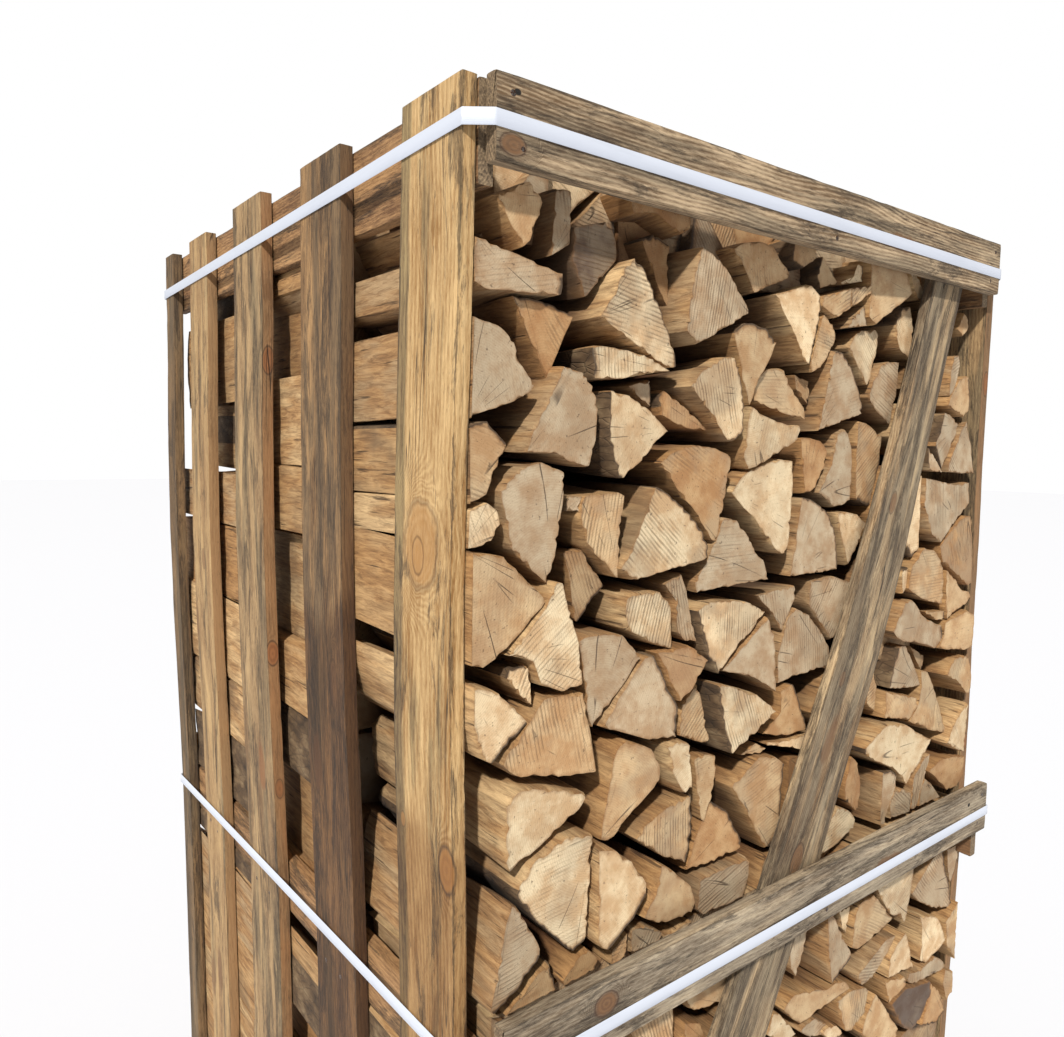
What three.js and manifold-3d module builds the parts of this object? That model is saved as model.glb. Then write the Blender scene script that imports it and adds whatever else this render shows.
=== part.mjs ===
// Pallet of beech firewood: split logs in an open slatted crate on a pallet base.
// Millimetres, +Z up. The front, with the log ends and the diagonal brace, faces -Y.
// Below, x runs from the left slats' outer face, y from the front ends of the side
// rails at the top, z from the ground. The last step moves the origin to the bottom centre.
import * as THREE from "three";
import { mergeVertices } from "three/addons/utils/BufferGeometryUtils.js";
import Module from "manifold-3d";

const kernel = await Module();
kernel.setup();
const { Manifold, Mesh } = kernel;

// Crate
const WIDTH = 1030;
const DEPTH = 1000;
const TOP = 1950;
const BOARD = 17.5;
const RIGHT_SLAT = 22;
const RAIL_HEIGHT = 79;
const SIDE_RAIL_HEIGHT = 95;
const GAP = 0.3;
const LEAN = 0.024; // the crate is racked: it leans back by this much of its height
const ORIGIN = [524.4, 478.7]; // the middle of the whole object, seen from above

// Pallet base
const BEARER = 95;
const DECK_THICK = 20;
const DECK_COUNT = 7;
const DECK_WIDE = 100;
const DECK_TOP = BEARER + GAP + DECK_THICK;

// Logs
const LOG_LENGTH = 312;
const ROW_PITCH = 330;
const CORE_DEPTH = 60; // how far the log ends stand out of the packed middle of a row
const CORE_SIDE = 5;
const LOGS_TOP = 1925;
const BRACE_FACE = 18.5; // behind the brace and the rails, log ends keep this far back
const BACK_REACH = 48; // the back row's logs beside the left wall stand out this much more
const BACK_GAPS = [[214, 965], [1084, 1600]]; // at these heights, between the back's rails
const BACK_PRESS = 4; // and press this much closer to the slats

// Eye point from which the front outlines were read, and the outlines as seen from
// there on the plane y = 0. Each log: [how far its end stands out of the front, corners x, z].
const EYE = [-417, -655, 1614];
const LARGE_LOGS = [
  [-5, [200, 1803,  216, 1818,  228, 1812,  251, 1786,  274, 1755,  293, 1724,  295, 1708,  278, 1706,
    235, 1724,  168, 1751,  189, 1778]],
  [-4, [324, 1848,  345, 1843,  366, 1833,  398, 1805,  417, 1787,  416, 1780,  394, 1770,  363, 1755,
    320, 1734,  298, 1748,  306, 1793]],
  [-8, [8, 1737,  43, 1730,  62, 1716,  74, 1694,  91, 1675,  70, 1662,  43, 1653,  8, 1641]],
  [-4, [124, 1698,  151, 1693,  164, 1680,  172, 1662,  170, 1624,  161, 1596,  132, 1602,  116, 1610,
    77, 1611,  85, 1632,  103, 1662]],
  [-3, [185, 1678,  216, 1674,  251, 1657,  282, 1637,  266, 1627,  243, 1605,  212, 1582,  203, 1585,
    186, 1624]],
  [-16, [463, 1810,  500, 1822,  530, 1831,  552, 1818,  554, 1797,  538, 1747,  533, 1727,
    521, 1731,  500, 1764,  480, 1787]],
  [-22, [586, 1752,  605, 1750,  628, 1731,  648, 1704,  659, 1681,  658, 1669,  609, 1656,
    555, 1643,  572, 1700]],
  [-5, [309, 1688,  330, 1708,  367, 1727,  385, 1727,  397, 1708,  405, 1667,  407, 1641,  390, 1626,
    375, 1628,  341, 1661]],
  [-6, [49, 1574,  70, 1596,  97, 1603,  125, 1592,  127, 1562,  120, 1506,  111, 1476,  89, 1494,
    63, 1517,  57, 1547]],
  [-3, [247, 1550,  258, 1575,  266, 1575,  308, 1550,  335, 1527,  350, 1501,  346, 1488,  289, 1479,
    232, 1472,  210, 1486,  225, 1505,  236, 1528]],
  [-8, [268, 1601,  297, 1618,  328, 1624,  360, 1620,  388, 1610,  383, 1580,  371, 1539,  361, 1507,
    352, 1511,  322, 1547,  306, 1560,  286, 1583]],
  [-3, [118, 1480,  127, 1479,  138, 1447,  150, 1412,  157, 1374,  155, 1368,  128, 1365,  101, 1375,
    90, 1401,  57, 1411,  105, 1455]],
  [-10, [392, 1566,  417, 1588,  455, 1603,  482, 1607,  508, 1606,  508, 1570,  504, 1498,
    496, 1483,  482, 1487,  433, 1533,  399, 1558]],
  [-8, [374, 1538,  398, 1533,  427, 1505,  454, 1478,  465, 1454,  337, 1448,  333, 1461,  353, 1491]],
  [-20, [529, 1558,  550, 1556,  585, 1541,  602, 1526,  616, 1497,  620, 1454,  507, 1454,
    513, 1475]],
  [-6, [332, 1428,  355, 1437,  390, 1435,  428, 1430,  473, 1412,  438, 1389,  402, 1368,  373, 1344,
    351, 1372]],
  [-20, [505, 1399,  525, 1411,  555, 1399,  588, 1373,  607, 1350,  617, 1321,  532, 1317,
    496, 1312,  492, 1351]],
  [-3, [372, 1333,  390, 1331,  448, 1310,  484, 1288,  499, 1276,  455, 1256,  405, 1238,  399, 1247,
    383, 1289]],
  [-9, [846, 1581,  898, 1574,  948, 1568,  997, 1571,  1000, 1536,  952, 1509,  930, 1495,
    900, 1476,  869, 1491,  852, 1520,  842, 1541]],
  [-5, [720, 1178,  752, 1195,  779, 1206,  825, 1197,  856, 1181,  904, 1160,  898, 1151,  873, 1127,
    837, 1097,  825, 1109,  802, 1129,  752, 1152,  723, 1168]],
  [-6, [98, 1193,  139, 1206,  177, 1199,  173, 1178,  173, 1080,  153, 1072,  139, 1083,  108, 1117,
    76, 1155,  75, 1166]],
];
const SMALL_LOGS = [
  [-10, [37, 1849,  77, 1868,  95, 1851,  78, 1812,  69, 1804]],
  [-25, [110, 1869,  131, 1869,  128, 1816,  103, 1801]],
  [-30, [200, 1885,  300, 1885,  303, 1860,  288, 1852,  250, 1867,  215, 1862]],
  [-26, [131, 1835,  174, 1847,  190, 1835,  193, 1810,  174, 1790,  150, 1768,  131, 1800]],
  [-39, [225, 1838,  245, 1846,  272, 1838,  268, 1770,  252, 1788]],
  [-8, [14, 1809,  93, 1793,  120, 1788,  119, 1766,  32, 1760,  14, 1765]],
  [-25, [372, 1852,  400, 1863,  428, 1869,  452, 1865,  470, 1852,  484, 1837,  481, 1829,
    415, 1804,  396, 1833]],
  [-20, [57, 1759,  103, 1758,  135, 1747,  103, 1679]],
  [-8, [157, 1720,  166, 1723,  220, 1721,  251, 1715,  280, 1703,  251, 1698,  205, 1689,  164, 1687]],
  [-30, [210, 1683,  246, 1692,  247, 1661,  222, 1675]],
  [-28, [255, 1671,  266, 1682,  290, 1670,  312, 1658,  345, 1637,  300, 1641,  262, 1653]],
  [-28, [551, 1868,  571, 1852,  590, 1838,  548, 1826,  540, 1840]],
  [-20, [594, 1840,  634, 1858,  630, 1869,  644, 1869,  647, 1848,  600, 1838]],
  [-12, [556, 1818,  619, 1836,  622, 1810,  592, 1794,  557, 1805]],
  [-10, [623, 1837,  669, 1846,  669, 1835,  626, 1811]],
  [-16, [655, 1818,  663, 1790,  614, 1783,  626, 1796]],
  [-8, [674, 1885,  755, 1885,  777, 1847,  752, 1832,  698, 1801,  687, 1793,  668, 1803,  670, 1830]],
  [-24, [756, 1825,  777, 1831,  787, 1801,  776, 1751,  748, 1764,  739, 1782,  736, 1804]],
  [-22, [557, 1797,  582, 1785,  593, 1768,  580, 1747,  560, 1726,  540, 1718,  535, 1728,
    540, 1748]],
  [-24, [634, 1776,  650, 1784,  690, 1788,  698, 1781,  692, 1755,  676, 1716,  666, 1709,
    632, 1744,  617, 1757]],
  [-24, [700, 1740,  720, 1747,  751, 1749,  753, 1708,  740, 1657,  698, 1675,  674, 1693,
    685, 1722]],
  [-14, [380, 1755,  398, 1767,  421, 1771,  444, 1767,  468, 1751,  455, 1731,  432, 1701,
    413, 1669,  399, 1700]],
  [-18, [425, 1676,  430, 1702,  452, 1718,  484, 1722,  502, 1695,  526, 1673,  527, 1657,
    475, 1664]],
  [-40, [505, 1714,  533, 1707,  535, 1690,  531, 1677,  508, 1696]],
  [-4, [421, 1672,  448, 1661,  494, 1650,  520, 1652,  518, 1634,  486, 1617,  448, 1600,  423, 1592,
    413, 1609,  416, 1643]],
  [-24, [525, 1633,  552, 1636,  572, 1631,  589, 1619,  583, 1598,  555, 1565,  533, 1561,
    528, 1600]],
  [-26, [600, 1641,  622, 1650,  637, 1624,  641, 1591,  640, 1549,  602, 1541,  562, 1562,
    587, 1596,  595, 1620]],
  [-26, [653, 1662,  690, 1654,  720, 1640,  716, 1600,  700, 1561,  692, 1537,  651, 1551,
    647, 1600]],
  [-10, [912, 1769,  928, 1772,  933, 1755,  925, 1737,  910, 1709,  899, 1706,  902, 1740]],
  [-24, [935, 1838,  950, 1826,  949, 1813,  931, 1801,  915, 1810]],
  [-10, [899, 1702,  929, 1734,  963, 1742,  974, 1708,  972, 1686,  952, 1675,  921, 1684,
    896, 1691]],
  [-12, [887, 1682,  906, 1679,  942, 1664,  936, 1647,  908, 1603,  898, 1593,  888, 1602,
    869, 1628,  876, 1651]],
  [-12, [964, 1671,  975, 1647,  995, 1584,  910, 1587,  910, 1601,  946, 1655]],
  [-18, [848, 1626,  874, 1606,  892, 1588,  862, 1589,  847, 1591]],
  [-10, [8, 1636,  33, 1641,  56, 1620,  44, 1597,  31, 1571,  8, 1561]],
  [-10, [8, 1555,  32, 1564,  44, 1556,  48, 1542,  38, 1526,  25, 1521,  8, 1520]],
  [-12, [155, 1567,  201, 1571,  211, 1567,  207, 1535,  206, 1476,  199, 1478,  184, 1494,
    162, 1513,  148, 1546]],
  [-33, [124, 1511,  152, 1513,  185, 1470,  173, 1459,  147, 1435,  142, 1440,  136, 1474]],
  [-17, [130, 1567,  150, 1567,  147, 1551,  129, 1551]],
  [-6, [8, 1519,  51, 1511,  78, 1492,  106, 1461,  78, 1436,  49, 1413,  30, 1402,  8, 1408]],
  [-12, [61, 1398,  84, 1399,  87, 1385,  88, 1357,  70, 1375,  58, 1389]],
  [-6, [10, 1389,  47, 1379,  70, 1358,  86, 1339,  43, 1305,  30, 1313,  12, 1370]],
  [-5, [54, 1301,  61, 1311,  108, 1360,  161, 1360,  167, 1328,  179, 1268,  132, 1273,  70, 1286]],
  [-12, [148, 1419,  174, 1421,  212, 1415,  233, 1396,  243, 1385,  219, 1359,  175, 1315,
    167, 1335,  161, 1366,  153, 1393]],
  [-10, [215, 1454,  232, 1460,  270, 1456,  288, 1440,  291, 1388,  266, 1395,  216, 1419]],
  [-14, [276, 1464,  305, 1476,  319, 1447,  333, 1391,  312, 1395,  297, 1406,  294, 1445]],
  [-12, [248, 1384,  263, 1386,  281, 1358,  305, 1317,  303, 1280,  258, 1287,  187, 1315,
    213, 1351]],
  [-7, [270, 1386,  324, 1388,  356, 1366,  328, 1335,  308, 1322,  286, 1356]],
  [-20, [310, 1316,  338, 1341,  350, 1305,  361, 1268,  356, 1262,  308, 1282]],
  [-22, [607, 1534,  632, 1536,  663, 1531,  690, 1516,  677, 1494,  648, 1457,  637, 1474,
    624, 1497,  614, 1517]],
  [-9, [472, 1406,  487, 1374,  487, 1333,  489, 1304,  444, 1330,  382, 1348]],
  [-20, [446, 1435,  522, 1443,  526, 1428,  515, 1412,  495, 1384,  480, 1405]],
  [-26, [558, 1445,  612, 1447,  658, 1434,  640, 1395,  621, 1367,  607, 1356,  588, 1378,
    556, 1412]],
  [-20, [500, 1304,  527, 1310,  554, 1258,  562, 1241,  505, 1241,  465, 1252,  503, 1276]],
  [-30, [565, 1263,  590, 1299,  616, 1315,  640, 1300,  622, 1246,  592, 1233]],
  [-16, [800, 1578,  832, 1586,  832, 1472,  810, 1458,  792, 1480]],
  [-9, [905, 1470,  950, 1500,  983, 1517,  1005, 1516,  1011, 1505,  1011, 1401,  998, 1399,
    975, 1411,  938, 1434,  916, 1443]],
  [-12, [850, 1473,  878, 1468,  905, 1446,  916, 1420,  915, 1376,  891, 1381,  848, 1391,
    806, 1411,  813, 1445]],
  [-16, [787, 1442,  806, 1445,  800, 1413,  790, 1405]],
  [-10, [806, 1390,  829, 1393,  862, 1365,  898, 1349,  922, 1344,  928, 1322,  904, 1304,
    875, 1315,  790, 1333,  769, 1350]],
  [-14, [864, 1370,  920, 1366,  924, 1352,  898, 1353]],
  [-12, [922, 1433,  945, 1423,  987, 1395,  1012, 1388,  1021, 1378,  1004, 1368,  956, 1359,
    932, 1350,  923, 1374]],
  [-9, [934, 1345,  1004, 1360,  1027, 1347,  1027, 1294,  998, 1291,  914, 1303,  932, 1322]],
  [-18, [791, 1325,  813, 1324,  828, 1308,  858, 1270,  870, 1251,  825, 1254,  765, 1263,
    775, 1293]],
  [-35, [820, 1322,  850, 1308,  868, 1300,  871, 1282,  862, 1275]],
  [-16, [762, 1260,  850, 1236,  857, 1221,  828, 1201,  791, 1212,  761, 1217]],
  [-16, [868, 1276,  892, 1271,  912, 1241,  925, 1216,  950, 1163,  944, 1160,  891, 1176,
    834, 1199,  861, 1222,  872, 1249]],
  [-12, [946, 1255,  968, 1280,  1002, 1283,  1014, 1276,  1028, 1250,  1028, 1213,  1014, 1214,
    985, 1237]],
  [-7, [1028, 1197,  998, 1188,  975, 1169,  954, 1140,  991, 1123,  1028, 1109]],
  [-12, [897, 1105,  912, 1110,  945, 1116,  987, 1112,  1026, 1104,  1026, 1071,  998, 1057,
    964, 1057,  945, 1071,  918, 1093]],
  [-20, [874, 1052,  877, 1083,  890, 1096,  905, 1088,  944, 1052]],
  [-18, [854, 1103,  890, 1136,  904, 1135,  888, 1097,  869, 1052,  853, 1052]],
  [-20, [790, 1078,  802, 1095,  825, 1095,  850, 1082,  847, 1052,  793, 1052]],
  [-16, [764, 1134,  789, 1134,  800, 1123,  801, 1105,  787, 1078,  774, 1051,  762, 1051]],
  [-24, [673, 1180,  695, 1164,  705, 1130,  704, 1100,  697, 1088,  661, 1117,  657, 1143]],
  [-24, [644, 1113,  675, 1099,  692, 1083,  691, 1066,  665, 1056,  612, 1045,  612, 1078]],
  [-30, [704, 1299,  723, 1297,  731, 1274,  728, 1234,  704, 1251]],
  [-5, [57, 1261,  72, 1273,  92, 1272,  140, 1256,  172, 1243,  161, 1229,  97, 1199,  66, 1187,
    59, 1200]],
  [-12, [204, 1288,  222, 1294,  240, 1288,  265, 1277,  281, 1252,  283, 1233,  251, 1214,
    201, 1182,  187, 1188,  193, 1230]],
  [-2, [186, 1178,  212, 1170,  240, 1148,  265, 1116,  268, 1105,  251, 1084,  201, 1057,  186, 1069]],
  [-16, [270, 1195,  305, 1203,  337, 1205,  340, 1155,  335, 1128,  331, 1118,  297, 1134,
    238, 1175,  252, 1188]],
  [-10, [283, 1134,  301, 1122,  341, 1089,  351, 1063,  345, 1051,  316, 1052,  285, 1057,
    257, 1075,  278, 1105]],
  [-9, [289, 1272,  305, 1276,  326, 1270,  333, 1214,  320, 1209,  300, 1237]],
  [-26, [336, 1248,  355, 1251,  374, 1246,  376, 1230,  369, 1195,  356, 1165,  349, 1169,
    343, 1205]],
  [-26, [372, 1187,  402, 1168,  430, 1122,  428, 1112,  378, 1109,  328, 1110,  346, 1152]],
  [-20, [353, 1091,  378, 1095,  446, 1095,  450, 1078,  438, 1043,  363, 1043,  352, 1053]],
  [-20, [404, 1198,  430, 1211,  459, 1225,  494, 1218,  515, 1204,  512, 1170,  514, 1118,
    500, 1096,  482, 1092,  468, 1112,  437, 1156]],
  [-26, [419, 1235,  450, 1245,  473, 1233,  460, 1229]],
  [-20, [475, 1236,  571, 1233,  580, 1224,  560, 1212,  525, 1223]],
  [-30, [522, 1210,  554, 1206,  568, 1170,  545, 1117,  522, 1127]],
  [-30, [464, 1045,  475, 1073,  483, 1085,  502, 1085,  518, 1060,  514, 1045]],
  [-10, [67, 1156,  78, 1149,  100, 1108,  111, 1084,  78, 1060,  45, 1046,  41, 1053,  50, 1093,
    59, 1139]],
  [-20, [60, 1040,  103, 1068,  121, 1072,  128, 1040]],
  [-16, [135, 1048,  155, 1064,  172, 1071,  188, 1054,  184, 1042,  138, 1042]],
  [-20, [207, 1055,  232, 1068,  228, 1040,  207, 1040]],
  [-20, [238, 1070,  262, 1066,  288, 1049,  284, 1040,  238, 1040]],
  [-20, [330, 950,  415, 950,  403, 915,  345, 926]],
  [-20, [240, 950,  312, 950,  312, 906,  252, 915]],
  [-24, [335, 915,  364, 903,  378, 872,  330, 870]],
  [-24, [540, 950,  586, 950,  577, 920,  559, 888,  546, 905]],
  [-10, [636, 950,  652, 946,  684, 897,  706, 867,  703, 860,  648, 841,  639, 880]],
  [-22, [660, 950,  688, 948,  683, 908,  669, 922]],
  [-12, [703, 925,  718, 945,  754, 947,  785, 916,  812, 888,  790, 880,  740, 872,  718, 869,
    702, 877]],
  [-12, [760, 955,  870, 955,  869, 905,  865, 868,  857, 858,  844, 880,  816, 887,  788, 918]],
  [-10, [876, 904,  906, 927,  929, 946,  966, 957,  973, 930,  988, 895,  998, 870,  1004, 852,
    993, 843,  948, 857,  896, 885]],
  [-24, [976, 953,  1024, 950,  1027, 920,  1005, 882,  999, 887,  984, 920]],
  [-5, [900, 860,  940, 849,  959, 841,  977, 816,  992, 787,  971, 777,  932, 766,  913, 776,
    914, 810,  909, 843]],
  [-8, [807, 822,  832, 841,  857, 850,  881, 808,  897, 770,  860, 780,  810, 787]],
  [-12, [716, 829,  760, 843,  802, 857,  830, 852,  800, 829,  760, 808,  731, 808]],
  [-12, [537, 847,  562, 860,  615, 849,  642, 837,  669, 841,  690, 831,  698, 817,  654, 814,
    577, 809,  553, 830]],
  [-8, [511, 855,  525, 850,  566, 803,  540, 797,  502, 826]],
  [-20, [574, 802,  592, 805,  613, 805,  648, 779,  640, 767,  600, 781]],
  [-20, [630, 775,  646, 779,  668, 772,  686, 752,  662, 746]],
  [-12, [664, 810,  704, 812,  745, 799,  758, 790,  749, 757,  708, 743,  692, 750,  678, 778]],
  [-10, [800, 787,  861, 773,  865, 757,  836, 748,  815, 745]],
  [-10, [872, 771,  905, 765,  955, 772,  984, 754,  992, 740,  984, 737,  894, 745,  872, 756]],
  [-8, [827, 736,  866, 750,  900, 742,  946, 734,  955, 705,  938, 688,  924, 668,  901, 657,
    876, 674,  858, 691]],
  [-9, [959, 720,  980, 703,  994, 680,  1001, 657,  970, 642,  927, 657,  946, 689]],
  [-9, [988, 820,  1028, 846,  1028, 738,  997, 775]],
  [-16, [996, 733,  1028, 718,  1028, 680,  1005, 672,  988, 711]],
  [-16, [762, 772,  774, 780,  848, 690,  838, 657,  780, 682,  737, 727]],
  [-30, [800, 1885,  925, 1885,  912, 1835,  860, 1790,  815, 1800]],
  [-20, [800, 1785,  890, 1785,  885, 1715,  850, 1695,  790, 1712]],
  [-26, [757, 1690,  862, 1690,  850, 1640,  768, 1612,  738, 1640]],
  [-20, [728, 1592,  792, 1600,  785, 1500,  720, 1475,  700, 1530]],
  [-20, [690, 1440,  785, 1470,  775, 1400,  740, 1352,  660, 1360]],
  [-30, [662, 1340,  700, 1340,  690, 1280,  638, 1262,  640, 1300]],
  [-30, [585, 1222,  692, 1225,  650, 1165,  600, 1125,  566, 1150]],
  [-30, [535, 1105,  605, 1110,  598, 1048,  530, 1048]],
  [-30, [492, 1885,  540, 1885,  537, 1862,  510, 1846,  488, 1853]],
  [-24, [780, 1885,  795, 1868,  812, 1850,  795, 1840,  783, 1850,  765, 1880]],
];

// Boards, as [near, far] y at the top, the lean of each in mm per mm, and the height of its top.
const SLATS = [
  { near: 0, far: 113, lean: -0.012, top: 1948.5 },
  { near: 255, far: 372, lean: LEAN, top: 1953.5 },
  { near: 507.5, far: 626, lean: LEAN, top: 1958.5 },
  { near: 753, far: 850, lean: LEAN, top: 1951.5 },
  { near: 949, far: 999, lean: LEAN, top: 1951 },
];
const SLAT_FOOT = 20;

// Rails of the front and back: ends, lower edge, and how much higher the right end is.
const crossRails = {
  top: { x: [24, 999], z: TOP - RAIL_HEIGHT, slope: 0 },
  middle: { x: [30, 1016], z: 982, slope: 12 },
  bottom: { x: [34, 1004], z: 124, slope: 0 },
};
// The brace's middle line at its two ends, how far and from where on up it bends to the
// right, and its width at foot and top.
const BRACE = { top: [894, 1919], foot: [95, 216], bend: 36, bendFrom: 0.35, wide: [122, 82] };
const BRACE_STATIONS = 12;
const BRACE_ROOM = 5; // between its edges and the log ends beside it
// Straps: width, thickness and the height of the middle of the band at the front left,
// front right, back right and back left corner.
const STRAP_WIDE = 15.5;
const STRAP_THICK = 0.8;
const STRAPS = {
  upper_strap: { heights: [1907.5, 1902.5, 1888, 1885], rail: "top" },
  lower_strap: { heights: [1008, 1027, 992, 982], rail: "middle" },
};

const WEATHERED = new THREE.MeshStandardMaterial({ color: 0x9a8b76, roughness: 0.9 });
const BROWN = new THREE.MeshStandardMaterial({ color: 0x8a6547, roughness: 0.9 });
const BEECH = new THREE.MeshStandardMaterial({ color: 0xd2b183, roughness: 0.85 });
const STRAPPING = new THREE.MeshStandardMaterial({ color: 0xf4f6fa, roughness: 0.35 });

// A repeatable number from 0 to 1 for two whole numbers.
function chance(i, j) {
  const wave = Math.sin(i * 12.9898 + j * 78.233) * 43758.5453;
  return wave - Math.floor(wave);
}

// How far the front plane has moved at height z, against its place at the top.
function racked(z) {
  return LEAN * (z - TOP);
}

// The planes against which a front or a back rail is nailed.
function frontOf(rail) {
  return racked(rail.z);
}

function backOf(rail) {
  return DEPTH + racked(rail.z + RAIL_HEIGHT + rail.slope);
}

// The left wall leans in towards its foot and bulges out a little in its upper half.
function leftFace(z) {
  const t = (z - TOP) / 1000;
  const bulge = t > -1 ? 4.2 * (1 - Math.cos(2 * Math.PI * t)) : 0;
  return -6.5 * t - bulge;
}

// The right wall bulges out by 22 mm at half height.
function rightFace(z) {
  return WIDTH + 11 * (1 - Math.cos((Math.PI * (z - TOP)) / 1000));
}

// A closed surface through rings with the same number of points; a loop joins its ends.
function loft(rings, loop = false) {
  const n = rings[0].length;
  const spots = rings.flat(2);
  const faces = [];
  const last = loop ? rings.length : rings.length - 1;
  for (let r = 0; r < last; r++) {
    const a = r * n;
    const b = ((r + 1) % rings.length) * n;
    for (let k = 0; k < n; k++) {
      const next = (k + 1) % n;
      faces.push(a + k, b + k, b + next, a + k, b + next, a + next);
    }
  }
  if (!loop) {
    const end = (rings.length - 1) * n;
    for (let k = 1; k < n - 1; k++) {
      faces.push(0, k, k + 1, end, end + k + 1, end + k);
    }
  }
  return outward(spots, faces);
}

// A geometry whose faces look outward, turned over if its volume comes out negative.
function outward(spots, faces) {
  const at = (i) => new THREE.Vector3(spots[3 * i], spots[3 * i + 1], spots[3 * i + 2]);
  let volume = 0;
  for (let f = 0; f < faces.length; f += 3) {
    volume += at(faces[f]).dot(at(faces[f + 1]).cross(at(faces[f + 2])));
  }
  const order = volume < 0 ? faces.slice().reverse() : faces;
  const geometry = new THREE.BufferGeometry();
  geometry.setAttribute("position", new THREE.Float32BufferAttribute(spots, 3));
  geometry.setIndex(order);
  return geometry;
}

// A closed geometry as a solid that can be joined and cut, and back.
function toManifold(geometry) {
  geometry.deleteAttribute("normal");
  geometry.deleteAttribute("uv");
  const merged = mergeVertices(geometry);
  const vertProperties = new Float32Array(merged.attributes.position.array);
  const triVerts = new Uint32Array(merged.index.array);
  return new Manifold(new Mesh({ numProp: 3, vertProperties, triVerts }));
}

function fromManifold(solid) {
  const mesh = solid.getMesh();
  const spots = [];
  for (let i = 0; i < mesh.vertProperties.length; i += mesh.numProp) {
    spots.push(mesh.vertProperties[i], mesh.vertProperties[i + 1], mesh.vertProperties[i + 2]);
  }
  return outward(spots, Array.from(mesh.triVerts));
}

// An upright board of a side wall: a ring of four corners at each of many heights, its edges
// a little uneven. `face` gives the x of its outer face and `inward` the side its back is on.
function slat(face, inward, thick, board, seed) {
  const rings = [];
  const stations = 12;
  for (let s = 0; s <= stations; s++) {
    const z = SLAT_FOOT + ((board.top - SLAT_FOOT) * s) / stations;
    const moved = board.lean * (z - TOP);
    const near = board.near + moved + 2 * (chance(seed, s) - 0.5);
    const far = board.far + moved + 3 * (chance(seed + 7, s) - 0.5);
    const outer = face(z);
    const inner = outer + inward * thick;
    rings.push([
      [outer, near, z],
      [inner, near, z],
      [inner, far, z],
      [outer, far, z],
    ]);
  }
  return loft(rings);
}

// A level rail of the front or back, from one wall to the other; `slope` lifts its right end.
function crossRail(x0, x1, yOuter, yInner, zLow, height, slope = 0) {
  const rings = [];
  const stations = 5;
  for (let s = 0; s <= stations; s++) {
    const x = x0 + ((x1 - x0) * s) / stations;
    const z = zLow + (slope * s) / stations + 1.5 * (chance(s, zLow) - 0.5);
    rings.push([
      [x, yOuter, z],
      [x, yInner, z],
      [x, yInner, z + height],
      [x, yOuter, z + height],
    ]);
  }
  return loft(rings);
}

// An inner rail of a side wall, behind the slats, following the wall's bulge at its height.
function sideRail(x0, x1, zLow, height) {
  const y0 = racked(zLow + height) + GAP + 0.7;
  const y1 = DEPTH + racked(zLow) - GAP - 0.7;
  const ring = (y) => [
    [x0, y, zLow],
    [x1, y, zLow],
    [x1, y, zLow + height],
    [x0, y, zLow + height],
  ];
  return loft([ring(y0), ring((y0 + y1) / 2), ring(y1)]);
}

// x and z on the brace: `t` runs from its foot to its top, `side` is -1 at its left edge and
// 1 at its right one, and `more` is further across.
function onBrace(t, side, more) {
  const along = new THREE.Vector2(BRACE.top[0] - BRACE.foot[0], BRACE.top[1] - BRACE.foot[1]);
  const across = new THREE.Vector2(along.y, -along.x).normalize();
  const half = (BRACE.wide[0] + (BRACE.wide[1] - BRACE.wide[0]) * t) / 2;
  const up = Math.max(0, (t - BRACE.bendFrom) / (1 - BRACE.bendFrom));
  const reach = side * half + more + BRACE.bend * Math.sin(Math.PI * up);
  return [
    BRACE.foot[0] + along.x * t + across.x * reach,
    BRACE.foot[1] + along.y * t + across.y * reach,
  ];
}

// The brace: a board from the top corner of one side to the bottom corner of the other,
// behind the rails, with waney edges. `inward` is 1 for the front and -1 for the back.
function brace(yFace, inward, mirrored) {
  const rings = [];
  for (let s = 0; s <= BRACE_STATIONS; s++) {
    const t = s / BRACE_STATIONS;
    const spot = (side, depth) => {
      const wane = 8 * (chance(side < 0 ? 31 : 47, s) - 0.5);
      const [x, z] = onBrace(t, side, wane);
      const y = yFace + racked(z) + inward * depth;
      return [mirrored ? WIDTH - x : x, y, z];
    };
    rings.push([
      spot(-1, GAP),
      spot(-1, BOARD),
      spot(1, BOARD),
      spot(1, GAP),
    ]);
  }
  return loft(rings);
}

// A band pulled tight round the crate: across each corner it goes straight from the slat
// to the rail.
function strap(heights, rail) {
  const [fl, fr, br, bl] = heights;
  const off = GAP + 0.2;
  const wallOff = GAP + 1;
  const slatNear = (z) => SLATS[0].near + SLATS[0].lean * (z - TOP) - 2.2;
  const slatFar = (z) => SLATS[4].far + SLATS[4].lean * (z - TOP) + 2.7;
  const frontY = frontOf(rail) - BOARD - GAP - off;
  const backY = backOf(rail) + BOARD + GAP + off;
  const corners = [
    [leftFace(fl) - wallOff, slatNear(fl), fl],
    [rail.x[0] - 1.5, frontY, fl],
    [rail.x[1] + 1.5, frontY, fr],
    [rightFace(fr) + wallOff, slatNear(fr), fr],
    [rightFace(br) + wallOff, slatFar(br), br],
    [rail.x[1] + 1.5, backY, br],
    [rail.x[0] - 1.5, backY, bl],
    [leftFace(bl) - wallOff, slatFar(bl), bl],
  ];
  const middle = [WIDTH / 2, DEPTH / 2];
  const rings = corners.map(([x, y, z]) => {
    const away = [Math.sign(x - middle[0]) * STRAP_THICK, Math.sign(y - middle[1]) * STRAP_THICK];
    return [
      [x, y, z - STRAP_WIDE / 2],
      [x + away[0], y + away[1], z - STRAP_WIDE / 2],
      [x + away[0], y + away[1], z + STRAP_WIDE / 2],
      [x, y, z + STRAP_WIDE / 2],
    ];
  });
  return loft(rings, true);
}

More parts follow.
